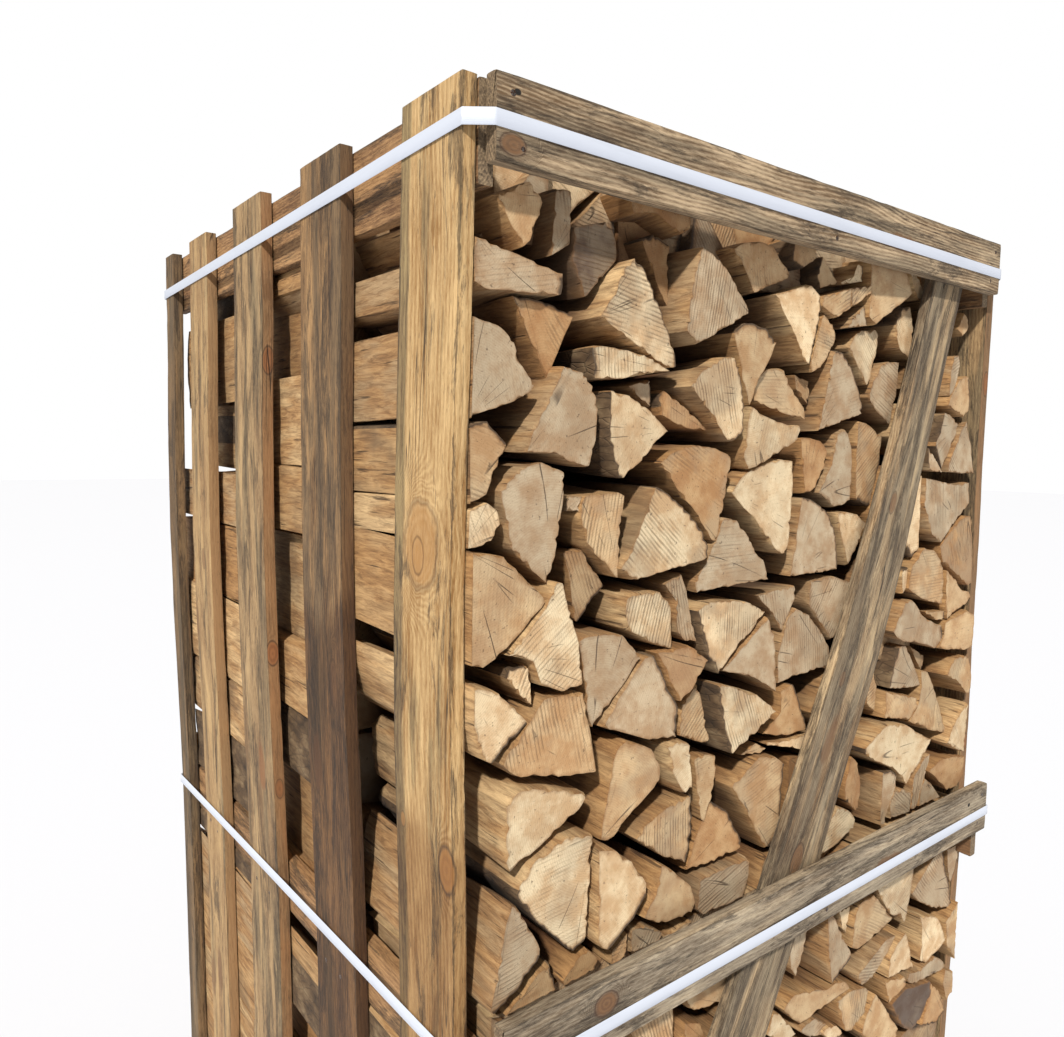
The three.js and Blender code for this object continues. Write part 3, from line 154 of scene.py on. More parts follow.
SMALL_LOGS: tuple[Outline, ...] = (
    (-10, TAN, (37, 1849, 77, 1868, 95, 1851, 78, 1812, 69, 1804)),
    (-25, GREY, (110, 1869, 131, 1869, 128, 1816, 103, 1801)),
    (-30, ORANGE, (200, 1885, 300, 1885, 303, 1860, 288, 1852, 250, 1867, 215, 1862)),
    (-26, DARK, (131, 1835, 174, 1847, 190, 1835, 193, 1810, 174, 1790, 150, 1768, 131, 1800)),
    (-39, ORANGE, (225, 1838, 245, 1846, 272, 1838, 268, 1770, 252, 1788)),
    (-8, GREY, (14, 1809, 93, 1793, 120, 1788, 119, 1766, 32, 1760, 14, 1765)),
    (-25, TAN, (372, 1852, 400, 1863, 428, 1869, 452, 1865, 470, 1852, 484, 1837, 481, 1829, 415, 1804, 396,
        1833)),
    (-20, ORANGE, (57, 1759, 103, 1758, 135, 1747, 103, 1679)),
    (-8, CREAM, (157, 1720, 166, 1723, 220, 1721, 251, 1715, 280, 1703, 251, 1698, 205, 1689, 164, 1687)),
    (-30, GREY, (210, 1683, 246, 1692, 247, 1661, 222, 1675)),
    (-28, ORANGE, (255, 1671, 266, 1682, 290, 1670, 312, 1658, 345, 1637, 300, 1641, 262, 1653)),
    (-28, TAN, (551, 1868, 571, 1852, 590, 1838, 548, 1826, 540, 1840)),
    (-20, CREAM, (594, 1840, 634, 1858, 630, 1869, 644, 1869, 647, 1848, 600, 1838)),
    (-12, TAN, (556, 1818, 619, 1836, 622, 1810, 592, 1794, 557, 1805)),
    (-10, TAN, (623, 1837, 669, 1846, 669, 1835, 626, 1811)),
    (-16, GREY, (655, 1818, 663, 1790, 614, 1783, 626, 1796)),
    (-8, TAN, (674, 1885, 755, 1885, 777, 1847, 752, 1832, 698, 1801, 687, 1793, 668, 1803, 670, 1830)),
    (-24, CREAM, (756, 1825, 777, 1831, 787, 1801, 776, 1751, 748, 1764, 739, 1782, 736, 1804)),
    (-22, TAN, (557, 1797, 582, 1785, 593, 1768, 580, 1747, 560, 1726, 540, 1718, 535, 1728, 540, 1748)),
    (-24, CREAM, (634, 1776, 650, 1784, 690, 1788, 698, 1781, 692, 1755, 676, 1716, 666, 1709, 632, 1744,
        617, 1757)),
    (-24, GREY, (700, 1740, 720, 1747, 751, 1749, 753, 1708, 740, 1657, 698, 1675, 674, 1693, 685, 1722)),
    (-14, TAN, (380, 1755, 398, 1767, 421, 1771, 444, 1767, 468, 1751, 455, 1731, 432, 1701, 413, 1669, 399,
        1700)),
    (-18, TAN, (425, 1676, 430, 1702, 452, 1718, 484, 1722, 502, 1695, 526, 1673, 527, 1657, 475, 1664)),
    (-40, TAN, (505, 1714, 533, 1707, 535, 1690, 531, 1677, 508, 1696)),
    (-4, CREAM, (421, 1672, 448, 1661, 494, 1650, 520, 1652, 518, 1634, 486, 1617, 448, 1600, 423, 1592, 413,
        1609, 416, 1643)),
    (-24, ORANGE, (525, 1633, 552, 1636, 572, 1631, 589, 1619, 583, 1598, 555, 1565, 533, 1561, 528, 1600)),
    (-26, GREY, (600, 1641, 622, 1650, 637, 1624, 641, 1591, 640, 1549, 602, 1541, 562, 1562, 587, 1596, 595,
        1620)),
    (-26, TAN, (653, 1662, 690, 1654, 720, 1640, 716, 1600, 700, 1561, 692, 1537, 651, 1551, 647, 1600)),
    (-10, GREY, (912, 1769, 928, 1772, 933, 1755, 925, 1737, 910, 1709, 899, 1706, 902, 1740)),
    (-24, TAN, (935, 1838, 950, 1826, 949, 1813, 931, 1801, 915, 1810)),
    (-10, TAN, (899, 1702, 929, 1734, 963, 1742, 974, 1708, 972, 1686, 952, 1675, 921, 1684, 896, 1691)),
    (-12, GREY, (887, 1682, 906, 1679, 942, 1664, 936, 1647, 908, 1603, 898, 1593, 888, 1602, 869, 1628, 876,
        1651)),
    (-12, GREY, (964, 1671, 975, 1647, 995, 1584, 910, 1587, 910, 1601, 946, 1655)),
    (-18, GREY, (848, 1626, 874, 1606, 892, 1588, 862, 1589, 847, 1591)),
    (-10, TAN, (8, 1636, 33, 1641, 56, 1620, 44, 1597, 31, 1571, 8, 1561)),
    (-10, CREAM, (8, 1555, 32, 1564, 44, 1556, 48, 1542, 38, 1526, 25, 1521, 8, 1520)),
    (-12, TAN, (155, 1567, 201, 1571, 211, 1567, 207, 1535, 206, 1476, 199, 1478, 184, 1494, 162, 1513, 148,
        1546)),
    (-33, TAN, (124, 1511, 152, 1513, 185, 1470, 173, 1459, 147, 1435, 142, 1440, 136, 1474)),
    (-17, GREY, (130, 1567, 150, 1567, 147, 1551, 129, 1551)),
    (-6, TAN, (8, 1519, 51, 1511, 78, 1492, 106, 1461, 78, 1436, 49, 1413, 30, 1402, 8, 1408)),
    (-12, CREAM, (61, 1398, 84, 1399, 87, 1385, 88, 1357, 70, 1375, 58, 1389)),
    (-6, CREAM, (10, 1389, 47, 1379, 70, 1358, 86, 1339, 43, 1305, 30, 1313, 12, 1370)),
    (-5, TAN, (54, 1301, 61, 1311, 108, 1360, 161, 1360, 167, 1328, 179, 1268, 132, 1273, 70, 1286)),
    (-12, GREY, (148, 1419, 174, 1421, 212, 1415, 233, 1396, 243, 1385, 219, 1359, 175, 1315, 167, 1335, 161,
        1366, 153, 1393)),
    (-10, CREAM, (215, 1454, 232, 1460, 270, 1456, 288, 1440, 291, 1388, 266, 1395, 216, 1419)),
    (-14, GREY, (276, 1464, 305, 1476, 319, 1447, 333, 1391, 312, 1395, 297, 1406, 294, 1445)),
    (-12, GREY, (248, 1384, 263, 1386, 281, 1358, 305, 1317, 303, 1280, 258, 1287, 187, 1315, 213, 1351)),
    (-7, ORANGE, (270, 1386, 324, 1388, 356, 1366, 328, 1335, 308, 1322, 286, 1356)),
    (-20, TAN, (310, 1316, 338, 1341, 350, 1305, 361, 1268, 356, 1262, 308, 1282)),
    (-22, CREAM, (607, 1534, 632, 1536, 663, 1531, 690, 1516, 677, 1494, 648, 1457, 637, 1474, 624, 1497,
        614, 1517)),
    (-9, GREY, (472, 1406, 487, 1374, 487, 1333, 489, 1304, 444, 1330, 382, 1348)),
    (-20, GREY, (446, 1435, 522, 1443, 526, 1428, 515, 1412, 495, 1384, 480, 1405)),
    (-26, GREY, (558, 1445, 612, 1447, 658, 1434, 640, 1395, 621, 1367, 607, 1356, 588, 1378, 556, 1412)),
    (-20, ORANGE, (500, 1304, 527, 1310, 554, 1258, 562, 1241, 505, 1241, 465, 1252, 503, 1276)),
    (-30, TAN, (565, 1263, 590, 1299, 616, 1315, 640, 1300, 622, 1246, 592, 1233)),
    (-16, CREAM, (800, 1578, 832, 1586, 832, 1472, 810, 1458, 792, 1480)),
    (-9, ORANGE, (905, 1470, 950, 1500, 983, 1517, 1005, 1516, 1011, 1505, 1011, 1401, 998, 1399, 975, 1411,
        938, 1434, 916, 1443)),
    (-12, TAN, (850, 1473, 878, 1468, 905, 1446, 916, 1420, 915, 1376, 891, 1381, 848, 1391, 806, 1411, 813,
        1445)),
    (-16, CREAM, (787, 1442, 806, 1445, 800, 1413, 790, 1405)),
    (-10, GREY, (806, 1390, 829, 1393, 862, 1365, 898, 1349, 922, 1344, 928, 1322, 904, 1304, 875, 1315, 790,
        1333, 769, 1350)),
    (-14, TAN, (864, 1370, 920, 1366, 924, 1352, 898, 1353)),
    (-12, TAN, (922, 1433, 945, 1423, 987, 1395, 1012, 1388, 1021, 1378, 1004, 1368, 956, 1359, 932, 1350,
        923, 1374)),
    (-9, TAN, (934, 1345, 1004, 1360, 1027, 1347, 1027, 1294, 998, 1291, 914, 1303, 932, 1322)),
    (-18, GREY, (791, 1325, 813, 1324, 828, 1308, 858, 1270, 870, 1251, 825, 1254, 765, 1263, 775, 1293)),
    (-35, TAN, (820, 1322, 850, 1308, 868, 1300, 871, 1282, 862, 1275)),
    (-16, TAN, (762, 1260, 850, 1236, 857, 1221, 828, 1201, 791, 1212, 761, 1217)),
    (-16, TAN, (868, 1276, 892, 1271, 912, 1241, 925, 1216, 950, 1163, 944, 1160, 891, 1176, 834, 1199, 861,
        1222, 872, 1249)),
    (-12, TAN, (946, 1255, 968, 1280, 1002, 1283, 1014, 1276, 1028, 1250, 1028, 1213, 1014, 1214, 985,
        1237)),
    (-7, CREAM, (1028, 1197, 998, 1188, 975, 1169, 954, 1140, 991, 1123, 1028, 1109)),
    (-12, ORANGE, (897, 1105, 912, 1110, 945, 1116, 987, 1112, 1026, 1104, 1026, 1071, 998, 1057, 964, 1057,
        945, 1071, 918, 1093)),
    (-20, GREY, (874, 1052, 877, 1083, 890, 1096, 905, 1088, 944, 1052)),
    (-18, GREY, (854, 1103, 890, 1136, 904, 1135, 888, 1097, 869, 1052, 853, 1052)),
    (-20, GREY, (790, 1078, 802, 1095, 825, 1095, 850, 1082, 847, 1052, 793, 1052)),
    (-16, GREY, (764, 1134, 789, 1134, 800, 1123, 801, 1105, 787, 1078, 774, 1051, 762, 1051)),
    (-24, ORANGE, (673, 1180, 695, 1164, 705, 1130, 704, 1100, 697, 1088, 661, 1117, 657, 1143)),
    (-24, CREAM, (644, 1113, 675, 1099, 692, 1083, 691, 1066, 665, 1056, 612, 1045, 612, 1078)),
    (-30, TAN, (704, 1299, 723, 1297, 731, 1274, 728, 1234, 704, 1251)),
    (-5, CREAM, (57, 1261, 72, 1273, 92, 1272, 140, 1256, 172, 1243, 161, 1229, 97, 1199, 66, 1187, 59,
        1200)),
    (-12, TAN, (204, 1288, 222, 1294, 240, 1288, 265, 1277, 281, 1252, 283, 1233, 251, 1214, 201, 1182, 187,
        1188, 193, 1230)),
    (-2, CREAM, (186, 1178, 212, 1170, 240, 1148, 265, 1116, 268, 1105, 251, 1084, 201, 1057, 186, 1069)),
    (-16, TAN, (270, 1195, 305, 1203, 337, 1205, 340, 1155, 335, 1128, 331, 1118, 297, 1134, 238, 1175, 252,
        1188)),
    (-10, TAN, (283, 1134, 301, 1122, 341, 1089, 351, 1063, 345, 1051, 316, 1052, 285, 1057, 257, 1075, 278,
        1105)),
    (-9, CREAM, (289, 1272, 305, 1276, 326, 1270, 333, 1214, 320, 1209, 300, 1237)),
    (-26, TAN, (336, 1248, 355, 1251, 374, 1246, 376, 1230, 369, 1195, 356, 1165, 349, 1169, 343, 1205)),
    (-26, ORANGE, (372, 1187, 402, 1168, 430, 1122, 428, 1112, 378, 1109, 328, 1110, 346, 1152)),
    (-20, GREY, (353, 1091, 378, 1095, 446, 1095, 450, 1078, 438, 1043, 363, 1043, 352, 1053)),
    (-20, TAN, (404, 1198, 430, 1211, 459, 1225, 494, 1218, 515, 1204, 512, 1170, 514, 1118, 500, 1096, 482,
        1092, 468, 1112, 437, 1156)),
    (-26, TAN, (419, 1235, 450, 1245, 473, 1233, 460, 1229)),
    (-20, CREAM, (475, 1236, 571, 1233, 580, 1224, 560, 1212, 525, 1223)),
    (-30, ORANGE, (522, 1210, 554, 1206, 568, 1170, 545, 1117, 522, 1127)),
    (-30, TAN, (464, 1045, 475, 1073, 483, 1085, 502, 1085, 518, 1060, 514, 1045)),
    (-10, GREY, (67, 1156, 78, 1149, 100, 1108, 111, 1084, 78, 1060, 45, 1046, 41, 1053, 50, 1093, 59,
        1139)),
    (-20, TAN, (60, 1040, 103, 1068, 121, 1072, 128, 1040)),
    (-16, ORANGE, (135, 1048, 155, 1064, 172, 1071, 188, 1054, 184, 1042, 138, 1042)),
    (-20, TAN, (207, 1055, 232, 1068, 228, 1040, 207, 1040)),
    (-20, GREY, (238, 1070, 262, 1066, 288, 1049, 284, 1040, 238, 1040)),
    (-20, TAN, (330, 950, 415, 950, 403, 915, 345, 926)),
    (-20, TAN, (240, 950, 312, 950, 312, 906, 252, 915)),
    (-24, ORANGE, (335, 915, 364, 903, 378, 872, 330, 870)),
    (-24, GREY, (540, 950, 586, 950, 577, 920, 559, 888, 546, 905)),
    (-10, GREY, (636, 950, 652, 946, 684, 897, 706, 867, 703, 860, 648, 841, 639, 880)),
    (-22, CREAM, (660, 950, 688, 948, 683, 908, 669, 922)),
    (-12, TAN, (703, 925, 718, 945, 754, 947, 785, 916, 812, 888, 790, 880, 740, 872, 718, 869, 702, 877)),
    (-12, CREAM, (760, 955, 870, 955, 869, 905, 865, 868, 857, 858, 844, 880, 816, 887, 788, 918)),
    (-10, GREY, (876, 904, 906, 927, 929, 946, 966, 957, 973, 930, 988, 895, 998, 870, 1004, 852, 993, 843,
        948, 857, 896, 885)),
    (-24, GREY, (976, 953, 1024, 950, 1027, 920, 1005, 882, 999, 887, 984, 920)),
    (-5, CREAM, (900, 860, 940, 849, 959, 841, 977, 816, 992, 787, 971, 777, 932, 766, 913, 776, 914, 810,
        909, 843)),
    (-8, CREAM, (807, 822, 832, 841, 857, 850, 881, 808, 897, 770, 860, 780, 810, 787)),
    (-12, GREY, (716, 829, 760, 843, 802, 857, 830, 852, 800, 829, 760, 808, 731, 808)),
    (-12, TAN, (537, 847, 562, 860, 615, 849, 642, 837, 669, 841, 690, 831, 698, 817, 654, 814, 577, 809,
        553, 830)),
    (-8, CREAM, (511, 855, 525, 850, 566, 803, 540, 797, 502, 826)),
    (-20, GREY, (574, 802, 592, 805, 613, 805, 648, 779, 640, 767, 600, 781)),
    (-20, CREAM, (630, 775, 646, 779, 668, 772, 686, 752, 662, 746)),
    (-12, TAN, (664, 810, 704, 812, 745, 799, 758, 790, 749, 757, 708, 743, 692, 750, 678, 778)),
    (-10, TAN, (800, 787, 861, 773, 865, 757, 836, 748, 815, 745)),
    (-10, GREY, (872, 771, 905, 765, 955, 772, 984, 754, 992, 740, 984, 737, 894, 745, 872, 756)),
    (-8, DARK, (827, 736, 866, 750, 900, 742, 946, 734, 955, 705, 938, 688, 924, 668, 901, 657, 876, 674,
        858, 691)),
    (-9, ORANGE, (959, 720, 980, 703, 994, 680, 1001, 657, 970, 642, 927, 657, 946, 689)),
    (-9, TAN, (988, 820, 1028, 846, 1028, 738, 997, 775)),
    (-16, TAN, (996, 733, 1028, 718, 1028, 680, 1005, 672, 988, 711)),
    (-16, TAN, (762, 772, 774, 780, 848, 690, 838, 657, 780, 682, 737, 727)),
    (-30, TAN, (800, 1885, 925, 1885, 912, 1835, 860, 1790, 815, 1800)),
    (-20, GREY, (800, 1785, 890, 1785, 885, 1715, 850, 1695, 790, 1712)),
    (-26, CREAM, (757, 1690, 862, 1690, 850, 1640, 768, 1612, 738, 1640)),
    (-20, TAN, (728, 1592, 792, 1600, 785, 1500, 720, 1475, 700, 1530)),
    (-20, GREY, (690, 1440, 785, 1470, 775, 1400, 740, 1352, 660, 1360)),
    (-30, TAN, (662, 1340, 700, 1340, 690, 1280, 638, 1262, 640, 1300)),
    (-30, CREAM, (585, 1222, 692, 1225, 650, 1165, 600, 1125, 566, 1150)),
    (-30, GREY, (535, 1105, 605, 1110, 598, 1048, 530, 1048)),
    (-30, TAN, (492, 1885, 540, 1885, 537, 1862, 510, 1846, 488, 1853)),
    (-24, CREAM, (780, 1885, 795, 1868, 812, 1850, 795, 1840, 783, 1850, 765, 1880)),
    (-40, TAN, (688, 1374, 800, 1376, 836, 1350, 822, 1306, 700, 1312)),
)


class Slot(Enum):
    """Names of four material groups; nothing in this script uses them."""

    BOARDS = "weathered_boards"
    BROWN = "brown_timber"
    BEECH = "split_beech"
    STRAPPING = "strapping"


@dataclass(frozen=True)
class Slat:
    """An upright slat: near and far edge at the top, lean in mm per mm, height of the top."""

    near: float
    far: float
    lean: float
    top: float


@dataclass(frozen=True)
class CrossRail:
    """A rail of front or back: its ends in x, lower edge, and rise to the right end."""

    x0: float
    x1: float
    z_low: float
    rise: float = 0.0


@dataclass(frozen=True)
class SideRail:
    """A rail inside a side wall: its lower edge and height."""

    z_low: float
    height: float = SIDE_RAIL_HEIGHT

    def face(self, left: bool) -> float:
        """x of its face against the left or right slats."""
        edges = (self.z_low, self.z_low + self.height)
        if left:
            return float(max(left_face(z) for z in edges) + BOARD + GAP)
        return float(min(right_face(z) for z in edges) - RIGHT_SLAT - GAP)


SLATS = (
    Slat(0.0, 113.0, -0.012, 1948.5),
    Slat(255.0, 372.0, LEAN, 1953.5),
    Slat(507.5, 626.0, LEAN, 1958.5),
    Slat(753.0, 850.0, LEAN, 1951.5),
    Slat(949.0, 999.0, LEAN, 1951.0),
)
CROSS_RAILS = {
    "top": CrossRail(24.0, 999.0, 1871.0),
    "middle": CrossRail(30.0, 1016.0, 982.0, 12.0),
    "bottom": CrossRail(34.0, 1004.0, 124.0),
}
SIDE_RAILS = {
    "top": SideRail(TOP - SIDE_RAIL_HEIGHT - 2),
    "middle": SideRail(938.0, 76.0),
    "bottom": SideRail(DECK_TOP + 2),
}


def chance(i: Array | float, j: Array | float) -> Array:
    """A repeatable number from 0 to 1 for a pair: the fraction of a large sine.

    Args:
        i, j: any numbers or arrays.

    Returns:
        frac(sin(12.9898 i + 78.233 j) * 43758.5453).
    """
    wave = np.sin(np.asarray(i) * 12.9898 + np.asarray(j) * 78.233) * 43758.5453
    return wave - np.floor(wave)


def grain(u: Array, v: Array, seed: float = 0.0) -> Array:
    """Smooth noise from -1 to 1 over a plane.

    Random values at whole places, blended with 3t^2 - 2t^3 along both ways.

    Args:
        u, v: places, one unit per bump.
        seed: another number gives another field.

    Returns:
        An array of the shape of u + v.
    """
    i, j = np.floor(u), np.floor(v)
    s, t = u - i, v - j
    s, t = s * s * (3 - 2 * s), t * t * (3 - 2 * t)
    low = chance(i + seed, j) * (1 - s) + chance(i + 1 + seed, j) * s
    high = chance(i + seed, j + 1) * (1 - s) + chance(i + 1 + seed, j + 1) * s
    return 2 * (low * (1 - t) + high * t) - 1


def racked(z: Array | float) -> Array | float:
    """y of the leaning crate's front at height z."""
    return LEAN * (z - TOP)


def left_face(z: Array | float) -> Array | float:
    """x of the left slats' outer face: leans in to the foot, bulges in its upper half."""
    t = (np.asarray(z, dtype=float) - TOP) / 1000
    return -6.5 * t - np.where(t > -1, 4.2 * (1 - np.cos(2 * np.pi * t)), 0.0)


def right_face(z: Array | float) -> Array | float:
    """x of the right slats' outer face: bulges out by 22 mm at half height."""
    return WIDTH + 11 * (1 - np.cos(np.pi * (np.asarray(z, dtype=float) - TOP) / 1000))


def daylight(points: Array) -> Array:
    """How lit and bleached the wood is at each point of the pile: painted shade deepening into it, partly the
    real lack of sun bleaching.

    Args:
        points: (N, 3) in mm.

    Returns:
        exp(-depth / BLEACH_AND_PAINTED_SHADE_REACH) below the nearest of front, back, side walls and top.
    """
    x, y, z = points.T
    depths = (
        y - racked(z),
        DEPTH + racked(z) - y,
        x - left_face(z) - BOARD,
        right_face(z) - RIGHT_SLAT - x,
        LOGS_TOP - z,
    )
    # Painted light: 1 at the pile's open faces, falling off with depth into painted shade.
    return np.exp(-np.maximum(np.min(depths, axis=0), 0) / BLEACH_AND_PAINTED_SHADE_REACH)


@dataclass
class Shell:
    """A closed surface of triangles with what the finishes read.

    points (N, 3) in mm; faces (F, 3); uv (F, 3, 2) in metres; skin (F,) material slots;
    edge (N,) 1 at an arris or a bark rim, 0.55 at a split rim, 0 far from them; tone (F, 4)
    colour and luck.
    """

    points: Array
    faces: Array
    uv: Array
    skin: Array
    edge: Array
    tone: Array

    def outward(self) -> "Shell":
        """Turns the faces round if the enclosed volume comes out negative."""
        a, b, c = (self.points[self.faces[:, k]] for k in range(3))
        if np.einsum("ij,ij->", a, np.cross(b, c)) < 0:
            self.faces, self.uv = self.faces[:, ::-1], self.uv[:, ::-1]
        return self


def joined(shells: list[Shell]) -> Shell:
    """Several shells as one, each keeping its own faces.

    Args:
        shells: the shells, in order.

    Returns:
        One shell whose face numbers count on from shell to shell.
    """
    starts = np.cumsum([0] + [len(s.points) for s in shells[:-1]])
    return Shell(
        points=np.concatenate([s.points for s in shells]),
        faces=np.concatenate([s.faces + start for s, start in zip(shells, starts)]),
        uv=np.concatenate([s.uv for s in shells]),
        skin=np.concatenate([s.skin for s in shells]),
        edge=np.concatenate([s.edge for s in shells]),
        tone=np.concatenate([s.tone for s in shells]),
    )


def sleeve(rows: int, around: int) -> tuple[Array, Array]:
    """Triangles of a grid of rings, closed round each ring.

    Args:
        rows: number of rings.
        around: points in a ring.

    Returns:
        Point numbers (F, 3), and the numbers of the same corners in a grid that has one
        column more, so that a pattern doesn't run backwards over the seam.
    """
    j, i = np.meshgrid(np.arange(rows - 1), np.arange(around), indexing="ij")
    corner = [(j, i), (j, i + 1), (j + 1, i + 1), (j + 1, i)]
    points = np.stack([r * around + c % around for r, c in corner], axis=-1).reshape(-1, 4)
    places = np.stack([r * (around + 1) + c for r, c in corner], axis=-1).reshape(-1, 4)
    split = [0, 1, 2, 0, 2, 3]
    return points[:, split].reshape(-1, 3), places[:, split].reshape(-1, 3)


def fan(rings: int, around: int) -> Array:
    """Triangles of a disc of rings that shrink to one middle point.

    Args:
        rings: number of rings, the rim first; the middle point follows them.
        around: points in a ring.

    Returns:
        Point numbers (F, 3).
    """
    grid = sleeve(rings, around)[0] if rings > 1 else np.empty((0, 3), dtype=int)
    last = (rings - 1) * around + np.arange(around)
    middle = np.full(around, rings * around)
    return np.concatenate([grid, np.stack([last, np.roll(last, -1), middle], axis=-1)])


def grid_uv(u: Array, v: Array) -> Array:
    """Pattern places of a grid of points, row after row.

    Args:
        u, v: running lengths in mm, (R, 1) along the rows and (1, C) round them, in the
            order in which the finish reads them.

    Returns:
        (R * C, 2) in metres.
    """
    return np.stack(np.broadcast_arrays(u, v), axis=-1).reshape(-1, 2) / 1000


def make_piece(name: str, shell: Shell, materials: list[Material],
               replaced: list[str], sharp: float = 38.0) -> None:
    """Puts a shell into the scene as a piece, at the origin, with its place in its mesh.

    Args:
        name: the piece's name.
        shell: its surface, in mm.
        materials: one for each skin.
        replaced: the frame's nodes that it stands for.
        sharp: faces that meet at more than this many degrees keep a sharp edge.
    """
    shell.outward()
    mesh = bpy.data.meshes.new(name)
    count = len(shell.faces)
    mesh.vertices.add(len(shell.points))
    mesh.vertices.foreach_set("co", ((shell.points - ORIGIN) / 1000).astype(np.float32).ravel())
    mesh.loops.add(3 * count)
    mesh.loops.foreach_set("vertex_index", shell.faces.astype(np.int32).ravel())
    mesh.polygons.add(count)
    mesh.polygons.foreach_set("loop_start", np.arange(0, 3 * count, 3, dtype=np.int32))
    mesh.polygons.foreach_set("material_index", shell.skin.astype(np.int32))
    mesh.update(calc_edges=True)
    mesh.uv_layers.new(name="wood").uv.foreach_set("vector", shell.uv.astype(np.float32).ravel())
    tone = mesh.attributes.new("tone", "FLOAT_COLOR", "CORNER")
    tone.data.foreach_set("color", np.repeat(shell.tone, 3, axis=0).astype(np.float32).ravel())
    # The second attribute carries painted light: shade painted deeper into the pile, partly sun bleaching.
    for key, values in {"edge": shell.edge, "daylight": daylight(shell.points)}.items():
        attribute = mesh.attributes.new(key, "FLOAT", "POINT")
        attribute.data.foreach_set("value", values.astype(np.float32))
    mesh.shade_smooth()
    mesh.set_sharp_from_angle(angle=math.radians(sharp))
    for material in materials:
        mesh.materials.append(material)
    piece = bpy.data.objects.new(name, mesh)
    bpy.context.collection.objects.link(piece)
    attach(piece, "root")
    if replaced:
        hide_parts(*replaced)
    LOG.info("%s: %d triangles, stands for %s", name, count, ", ".join(replaced) or "no node")


def linear(hex_colour: str) -> tuple[float, float, float, float]:
    """An sRGB hex colour as linear red, green, blue and alpha 1."""
    parts = [int(hex_colour[k:k + 2], 16) / 255 for k in (1, 3, 5)]
    return (*(c / 12.92 if c <= 0.04045 else ((c + 0.055) / 1.055) ** 2.4 for c in parts), 1.0)


def recipe(kind: str, inputs: dict | None = None, out: int | str | None = 0, **settings: object) -> tuple:
    """What a node is made from.

    Args:
        kind: Blender's name of the node without "ShaderNode".
        inputs: its inputs in order, with their usual values; None must be given.
        out: its output.
        settings: the node's own properties.

    Returns:
        The four as a tuple.
    """
    return kind, inputs or {}, out, settings


class Node(Enum):
    """The nodes that the finishes and the sky are made of."""

    ADD = recipe("Math", {0: None, 1: None}, operation="ADD")
    SUBTRACT = recipe("Math", {0: None, 1: None}, operation="SUBTRACT")
    TIMES = recipe("Math", {0: None, 1: None}, operation="MULTIPLY")
    TIMES_PLUS = recipe("Math", {0: None, 1: None, 2: None}, operation="MULTIPLY_ADD")
    MAXIMUM = recipe("Math", {0: None, 1: None}, operation="MAXIMUM")
    ABSOLUTE = recipe("Math", {0: None}, operation="ABSOLUTE")
    SINE = recipe("Math", {0: None}, operation="SINE")
    ANGLE = recipe("Math", {0: None, 1: None}, operation="ARCTAN2")
    OVER = recipe("Mix", {0: None, 6: None, 7: None}, 2, data_type="RGBA")
    STAIN = recipe("Mix", {6: None, 7: None, 0: 1.0}, 2, data_type="RGBA", blend_type="MULTIPLY")
    EITHER = recipe("Mix", {0: None, 2: None, 3: None}, data_type="FLOAT")
    BETWEEN = recipe("MapRange", {"Value": None, "From Min": None, "From Max": None, "To Min": 0.0,
                                  "To Max": 1.0}, interpolation_type="SMOOTHSTEP")
    RAMP = recipe("ValToRGB", {0: None})
    NOISE = recipe("TexNoise", {"Vector": None, "Scale": None, "Detail": 3.0, "Roughness": 0.55,
                                "Distortion": 0.0}, "Fac")
    CRACKS = recipe("TexVoronoi", {"Vector": None, "Scale": None}, "Distance", feature="DISTANCE_TO_EDGE")
    CELL_MIDDLE = recipe("TexVoronoi", {"Vector": None, "Scale": 1.0, "Randomness": 0.9}, "Distance",
                         voronoi_dimensions="2D")
    CELL_LUCK = recipe("TexVoronoi", {"Vector": None, "Scale": 1.0, "Randomness": 0.9}, "Color",
                       voronoi_dimensions="2D")
    STRETCH = recipe("VectorMath", {0: None, 1: None}, operation="MULTIPLY")
    MOVE = recipe("VectorMath", {0: None, 1: None}, operation="ADD")
    MOVE_BACK = recipe("VectorMath", {0: None, 1: None}, operation="SUBTRACT")
    LENGTH = recipe("VectorMath", {0: None}, "Value", operation="LENGTH")
    VECTOR = recipe("CombineXYZ", {0: None, 1: None, 2: None})
    X = recipe("SeparateXYZ", {0: None}, "X")
    Y = recipe("SeparateXYZ", {0: None}, "Y")
    PLACE = recipe("TexCoord", out="Object")
    FLAT = recipe("UVMap", out="UV", uv_map="wood")
    TONE = recipe("Attribute", out="Color", attribute_name="tone")
    LUCK = recipe("Attribute", out="Alpha", attribute_name="tone")
    RIM = recipe("Attribute", out="Fac", attribute_name="edge")
    # Painted light: the pile's shade by depth, partly sun bleaching.
    PAINTED_LIGHT_AND_BLEACH = recipe("Attribute", out="Fac", attribute_name="daylight")
    BUMP = recipe("Bump", {"Height": None, "Distance": None, "Strength": 1.0})
    SURFACE = recipe("BsdfPrincipled", {"Base Color": None, "Roughness": None, "Metallic": None,
                                        "Normal": None})
    SHOWN = recipe("OutputMaterial", {"Surface": None}, None)
    SEEN = recipe("LightPath", out="Is Camera Ray")
    GLOW = recipe("Background", {"Color": None, "Strength": None})
    EITHER_GLOW = recipe("MixShader", {0: None, 1: None, 2: None})
    WORLD = recipe("OutputWorld", {"Surface": None}, None)


